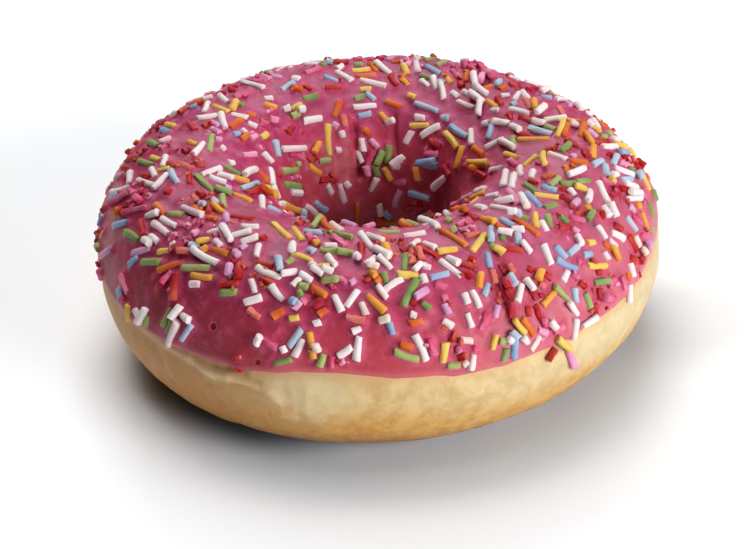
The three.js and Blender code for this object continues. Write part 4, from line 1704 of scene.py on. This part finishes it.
def icing_colour(finish, clouds, streaks, specks):
    """The icing's colour: by height on the section with a painted sheen, then tints from broad to fine."""
    # towards the crest the painted cool reflection comes in
    crest = finish.step(finish.attribute("crest"), 0.15, 1)
    colour = finish.mix(crest, finish.blotches(clouds, ICING_LOW), finish.blotches(clouds, ICING_CREST_PINK_AND_SHEEN))
    dim = (1 - finish.step(streaks, 0.36, 0.5)) * crest
    dissolved = finish.step(specks * 0.6 + clouds * 0.4, 0.55, 0.6) * crest
    edge = 1 - finish.step(finish.attribute("edge") + (streaks - 0.5) * 0.8, 0, 1.5)
    bleed = finish.attribute("bleed") * finish.step(streaks, 0.3, 0.65)
    stain = finish.attribute("dark_red") * finish.step(specks + streaks, 0.8, 1.15)
    layers = [
        # painted sheen on the right front
        (finish.near(LAMPLIT_RIGHT_FRONT, 22, 60) * 0.46, PAINTED_SHEEN_PINK),
        (finish.near(FRONT_CREST, 5, 17) * (0.05 + clouds * 0.4), MILKY_PINK),
        # painted shade on the left flank
        (finish.near(SHADED_LEFT_FLANK, 14, 38) * 0.5, PAINTED_SHADE_PINK),
        # painted shade in the hole
        (finish.near(SHADED_HOLE_WALL, 3, 10) * 0.55, HOLE_SHADE_RED),
        (finish.step(streaks, 0.48, 0.66) * 0.3, STREAK_PINK),
        (dim * 0.35, DIM_PINK),
        (dissolved * 0.4, DISSOLVED_RED),
        # painted highlights round the strands, where the icing climbs up them
        (finish.attribute("climb") * (0.15 + specks * 0.5), MENISCUS_HIGHLIGHT_PINK),
        (finish.step(specks, 0.58, 0.75) * 0.12, SPECK_PINK),
        (edge * 0.45, EDGE_PINK),
        (bleed * 0.55, BLEED_RED),
        (stain * 0.75, STAIN_RED),
    ]
    for pit in PITS:
        layers.append((pit_mask(finish, pit, PIT_RIM_SHARE) * 0.7, PIT_RIM_PINK))
        layers.append((pit_mask(finish, pit, 1.0), PIT_RED))
    return finish.paint(colour, layers)


print("pits in the icing:", len(PITS))

# %% Finish the icing
ICING_BLUR = (1.0, 0.3, 0.4)  # how far red, green and blue light spread in the sugar


def icing_finish():
    finish = Finish("icing", Subsurface_Weight=0.2, Subsurface_Scale=0.001, Specular_IOR_Level=0.23)
    finish.shader.inputs["Subsurface Radius"].default_value = ICING_BLUR
    clouds = finish.noise(9 * MM, detail=3)
    streaks = finish.noise(1.8 * MM, detail=4, roughness=0.6)
    specks = finish.noise(0.55 * MM, detail=2, roughness=0.7)
    colour = icing_colour(finish, clouds, streaks, specks)
    crumbly = finish.noise(0.4 * MM, detail=3, roughness=0.6) * (0.2 + finish.attribute("bleed") * 0.8)
    relief = finish.bump(finish.noise(0.9 * MM, detail=3) + crumbly, 0.09 * MM)
    finish.set(Base_Color=colour, Roughness=0.32 + streaks * 0.2, Normal=relief)
    print(len(finish.tree.nodes), "nodes in the finish of the icing")
    return finish.material


icing.data.materials.append(icing_finish())

# %% [markdown]
# ## The strands
#
# A sugar strand is a thin rod pressed through a hole and broken into lengths, so it has a round
# section, blunt ends and sometimes a bend. One strand is modelled: a long cylinder with chamfered
# ends and a few cuts across it. Each real strand is a copy of that mesh, stretched between its
# ends so that the chamfers keep their size, bent a little and made lumpy. The red and pink ones
# softened in the icing, so they are the lumpiest. All of one colour are one piece.

# %% Model one strand
MASTER_SIDES = 8
MASTER_HALF = 10.0  # half its length, in radii, as the next two
MASTER_CUTS = (-5.0, 0.0, 5.0)
MASTER_CHAMFER = 0.16
FACES_END = 0.9  # how squarely a face has to look along the strand to be an end


def model_strand():
    """A strand of radius 1 along X, as its vertices and faces."""
    deselect_all()
    bpy.ops.mesh.primitive_cylinder_add(
        vertices=MASTER_SIDES,
        radius=1,
        depth=2 * MASTER_HALF,
        end_fill_type="NGON",
        rotation=(0, math.pi / 2, 0),
    )
    strand = bpy.context.object
    bpy.ops.object.transform_apply(location=True, rotation=True, scale=True)
    bpy.ops.object.mode_set(mode="EDIT")
    for place in MASTER_CUTS:
        bpy.ops.mesh.select_all(action="SELECT")
        bpy.ops.mesh.bisect(plane_co=(place, 0, 0), plane_no=(1, 0, 0))
    for end in (-1, 1):
        bpy.ops.mesh.select_all(action="DESELECT")
        bpy.ops.object.mode_set(mode="OBJECT")
        for face in strand.data.polygons:
            face.select = face.normal.x * end > FACES_END
        bpy.ops.object.mode_set(mode="EDIT")
        bpy.ops.mesh.select_mode(type="FACE")
        bpy.ops.mesh.inset(thickness=MASTER_CHAMFER, depth=0)
        bpy.ops.transform.translate(value=(end * MASTER_CHAMFER, 0, 0))
    bpy.ops.object.mode_set(mode="OBJECT")
    points = positions(strand)
    faces = [tuple(face.vertices) for face in strand.data.polygons]
    bpy.data.objects.remove(strand)
    return points, faces


master_points, master_faces = model_strand()
print(len(master_faces), "faces on one strand")

# %% Shape one copy
BEND = 0.06  # how far a strand bends, as a share of its length
BEND_MIDDLE = 0.4  # so that a bent strand stays about where it lay
TAPER = 0.14  # how much thicker one end may be
SLANT = 0.22  # how far an end may be broken askew
LEAST_HALF = 0.1  # the least half length between the chamfers, as a share of the length
LUMPS = {"maroon": 0.3, "red": 0.2, "scarlet": 0.24, "salmon": 0.16, "pink": 0.24, "blush": 0.12}
PLAIN_LUMPS = 0.06
shape_draw = Draw(991)


def strand_points(strand):
    """The vertices of one strand's copy, how far along it each lies and how high, in millimetres."""
    x, y, z = master_points.T
    body = np.clip(x, -MASTER_HALF, MASTER_HALF)
    end = x - body
    along = body / MASTER_HALF
    half = max(strand.length / 2 - MASTER_CHAMFER * strand.radius, LEAST_HALF * strand.length)
    bend = BEND * strand.length * (2 * shape_draw() - 1) * shape_draw()
    turned = 2 * math.pi * shape_draw()
    taper = 1 + TAPER * (2 * shape_draw() - 1) * along
    lumps = LUMPS.get(strand.kind, PLAIN_LUMPS)
    jitter = np.array([1 + lumps * (2 * shape_draw() - 1) for _ in x])
    slant = SLANT * (2 * shape_draw() - 1)
    axis = unit(strand.axis + strand.normal * strand.rise)
    side = unit(np.cross(strand.normal, axis))
    up = np.cross(axis, side)
    cosine, sine = math.cos(turned), math.sin(turned)
    across = (y * cosine - z * sine) * strand.radius * taper * jitter
    above = (y * sine + z * cosine) * strand.radius * taper * jitter
    length = along * half + end * strand.radius + slant * across * np.abs(along)
    centre = strand.point + strand.normal * strand.lift
    across = across + bend * (along**2 - BEND_MIDDLE)
    points = centre + np.outer(length, axis) + np.outer(across, side) + np.outer(above, up)
    height = ((points - strand.point) @ strand.normal) - strand.rise * length
    return points, along, height / MM


print(len(LUMPS), "kinds of strand are lumpier than the others")

# %% Join the strands of a colour
TONE_SPREAD = 0.3


def join_strands(name, strands):
    """One piece from all the strands of a colour."""
    points, faces, along, height, tone, glaze = [], [], [], [], [], []
    for strand in strands:
        first = len(points) * len(master_points)
        copy, share, above = strand_points(strand)
        _, middle, clinging = KINDS[strand.kind]
        points.append(copy)
        along.append(share if shape_draw() < 0.5 else -share)
        height.append(above)
        tone.append(np.full(len(copy), middle + TONE_SPREAD * (shape_draw() - 0.5)))
        glaze.append(np.full(len(copy), clinging * (0.5 + shape_draw())))
        faces.extend(tuple(corner + first for corner in face) for face in master_faces)
    mesh = bpy.data.meshes.new(name)
    mesh.from_pydata(np.concatenate(points).tolist(), [], faces)
    piece = bpy.data.objects.new(name, mesh)
    bpy.context.scene.collection.objects.link(piece)
    for key, values in {"along": along, "height": height, "tone": tone, "glaze": glaze}.items():
        store(piece, key, np.concatenate(values))
    make_active(piece)
    bpy.ops.object.shade_smooth_by_angle(angle=math.radians(50))
    return piece


print("each strand's tone is up to", TONE_SPREAD / 2, "off its kind's own")

# %% Copy it for every strand
STRAND_TONES = {  # the deepest and the palest tone
    "white": ((225, 216, 217), (218, 203, 186)),
    "pink": ((190, 38, 88), (222, 146, 178)),
    "red": ((162, 2, 12), (214, 116, 92)),
    "orange": ((196, 76, 14), (218, 152, 60)),
    "yellow": ((210, 164, 56), (224, 196, 108)),
    "green": ((98, 126, 66), (152, 166, 96)),
    "blue": ((106, 142, 186), (170, 182, 198)),
    "lilac": ((186, 118, 162), (212, 168, 196)),
}
strand_pieces = {}
for colour in STRAND_TONES:
    mine = [strand for strand in heap.strands if KINDS[strand.kind][0] == colour]
    strand_pieces[colour] = join_strands(f"strands_{colour}", mine)
print({colour: len(piece.data.polygons) for colour, piece in strand_pieces.items()})


# %% [markdown]
# Sugar strands are matt. Each has a tone of its own, which drifts a little along it. Some wear a
# film of icing, and all of them take up its pink where they are sunk in it. The tones ride on the
# vertices as attributes, so that one finish serves all the strands of a colour.


# %% Finish the strands
FILM_PINK = (206, 104, 144)
SUNK_PINK = (188, 62, 104)
SUNK_TINTS = {"red": (150, 12, 42)}  # where it isn't the icing's pink


def strand_finish(colour):
    finish = Finish(f"strands_{colour}", Subsurface_Weight=0.12, Subsurface_Scale=0.0006)
    finish.set(Specular_IOR_Level=0.3)
    drift = finish.noise(1.6 * MM, detail=2)
    blend = finish.attribute("tone") + (drift - 0.5) * 0.5 + finish.attribute("along") * 0.16
    sunk = 1 - finish.step(finish.attribute("height") + (drift - 0.5) * 0.6, -0.1, 0.4)
    layers = [
        (finish.attribute("glaze"), FILM_PINK),
        (sunk * 0.75, SUNK_TINTS.get(colour, SUNK_PINK)),
    ]
    body = finish.paint(finish.blotches(blend, STRAND_TONES[colour]), layers)
    relief = finish.bump(finish.noise(0.4 * MM, detail=3), 0.07 * MM)
    finish.set(Base_Color=body, Roughness=0.5 + drift * 0.2, Normal=relief)
    return finish.material


for colour, piece in strand_pieces.items():
    piece.data.materials.append(strand_finish(colour))
print(len(strand_pieces), "finishes for the strands")

# %% [markdown]
# ## Table and light
#
# The doughnut stands on a white table in a dark room. Large soft lamps hang high behind it, so
# that the shadow falls towards the camera, and a low one at the front right lights the dough and
# leaves the left side in shade. The doughnut throws warm light on the table next to it. The
# table is a little blue there, which keeps the shadow a neutral grey, and a contact shadow is
# painted on it where the two meet.

# %% Set the table
TABLE_SIZE = 3
TABLE_WHITES = (246, 248, 250), (250, 251, 252)
COOL_WHITE = (220, 236, 252)
# the colour of the painted contact shadow where the table meets the ring
PAINTED_CONTACT_SHADOW = (34, 39, 45)
deselect_all()
bpy.ops.mesh.primitive_plane_add(size=TABLE_SIZE, location=(0, 0, 0))
table = bpy.context.object
table.name = "table_top"
table_finish = Finish("table_top", Roughness=0.8)
white = table_finish.blotches(table_finish.noise(40 * MM, detail=2), TABLE_WHITES)
# painted contact shadow: all round the ring, darkest at the left front and at the right
under = table_finish.near((0, 0, 0), 36.5, 43.5)
left_front_shadow = table_finish.near((-29, -25, 0), 8, 28)
right_side_shadow = table_finish.near((50, -3, 0), 6, 20)
layers = [
    (table_finish.near((4, -9, 0), 31, 50), COOL_WHITE),
    (under * (0.05 + left_front_shadow * 0.72) + right_side_shadow * 0.2, PAINTED_CONTACT_SHADOW),
]
surface = table_finish.paint(white, layers)
table_finish.set(Base_Color=surface)
table.data.materials.append(table_finish.material)
print("the table is", TABLE_SIZE, "m wide")

# %% Hang the lamps
LAMP_DISTANCE = 0.9
LAMPS = [  # name, degrees from +X and above the table, size in metres, power in watts
    ("lamp_main", 106, 60, 0.7, 5.3),
    ("lamp_top", 90, 86, 0.6, 2.4),
    ("lamp_back", 90, 34, 0.5, 2.0),
    ("lamp_front", -42, 16, 0.5, 9.2),
]
ROOM_COLOUR = (0.7, 0.85, 1, 1)
ROOM_LIGHT = 0.03


def hang_lamp(name, azimuth, elevation, size, power):
    """A square soft lamp that looks at the ring."""
    a, e = math.radians(azimuth), math.radians(elevation)
    towards = Vector((math.cos(e) * math.cos(a), math.cos(e) * math.sin(a), math.sin(e)))
    place = towards * LAMP_DISTANCE
    deselect_all()
    bpy.ops.object.light_add(type="AREA", location=place)
    lamp = bpy.context.object
    lamp.name = name
    lamp.rotation_euler = place.to_track_quat("Z", "Y").to_euler()
    lamp.data.size = size
    lamp.data.energy = power


for lamp_row in LAMPS:
    hang_lamp(*lamp_row)
world = bpy.data.worlds.new("room")
world.use_nodes = True
world.node_tree.nodes["Background"].inputs["Color"].default_value = ROOM_COLOUR
world.node_tree.nodes["Background"].inputs["Strength"].default_value = ROOM_LIGHT
bpy.context.scene.world = world
bpy.context.scene.view_settings.view_transform = "Standard"
print(len(LAMPS), "lamps")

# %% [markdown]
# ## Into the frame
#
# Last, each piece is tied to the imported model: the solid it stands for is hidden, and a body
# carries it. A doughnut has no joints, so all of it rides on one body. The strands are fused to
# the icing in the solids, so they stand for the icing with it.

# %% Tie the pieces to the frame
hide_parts("dough")
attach(dough, "root")
for piece, slot in [(icing, "icing")] + [(p, f"strands_{c}") for c, p in strand_pieces.items()]:
    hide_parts("icing")
    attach(piece, "root")
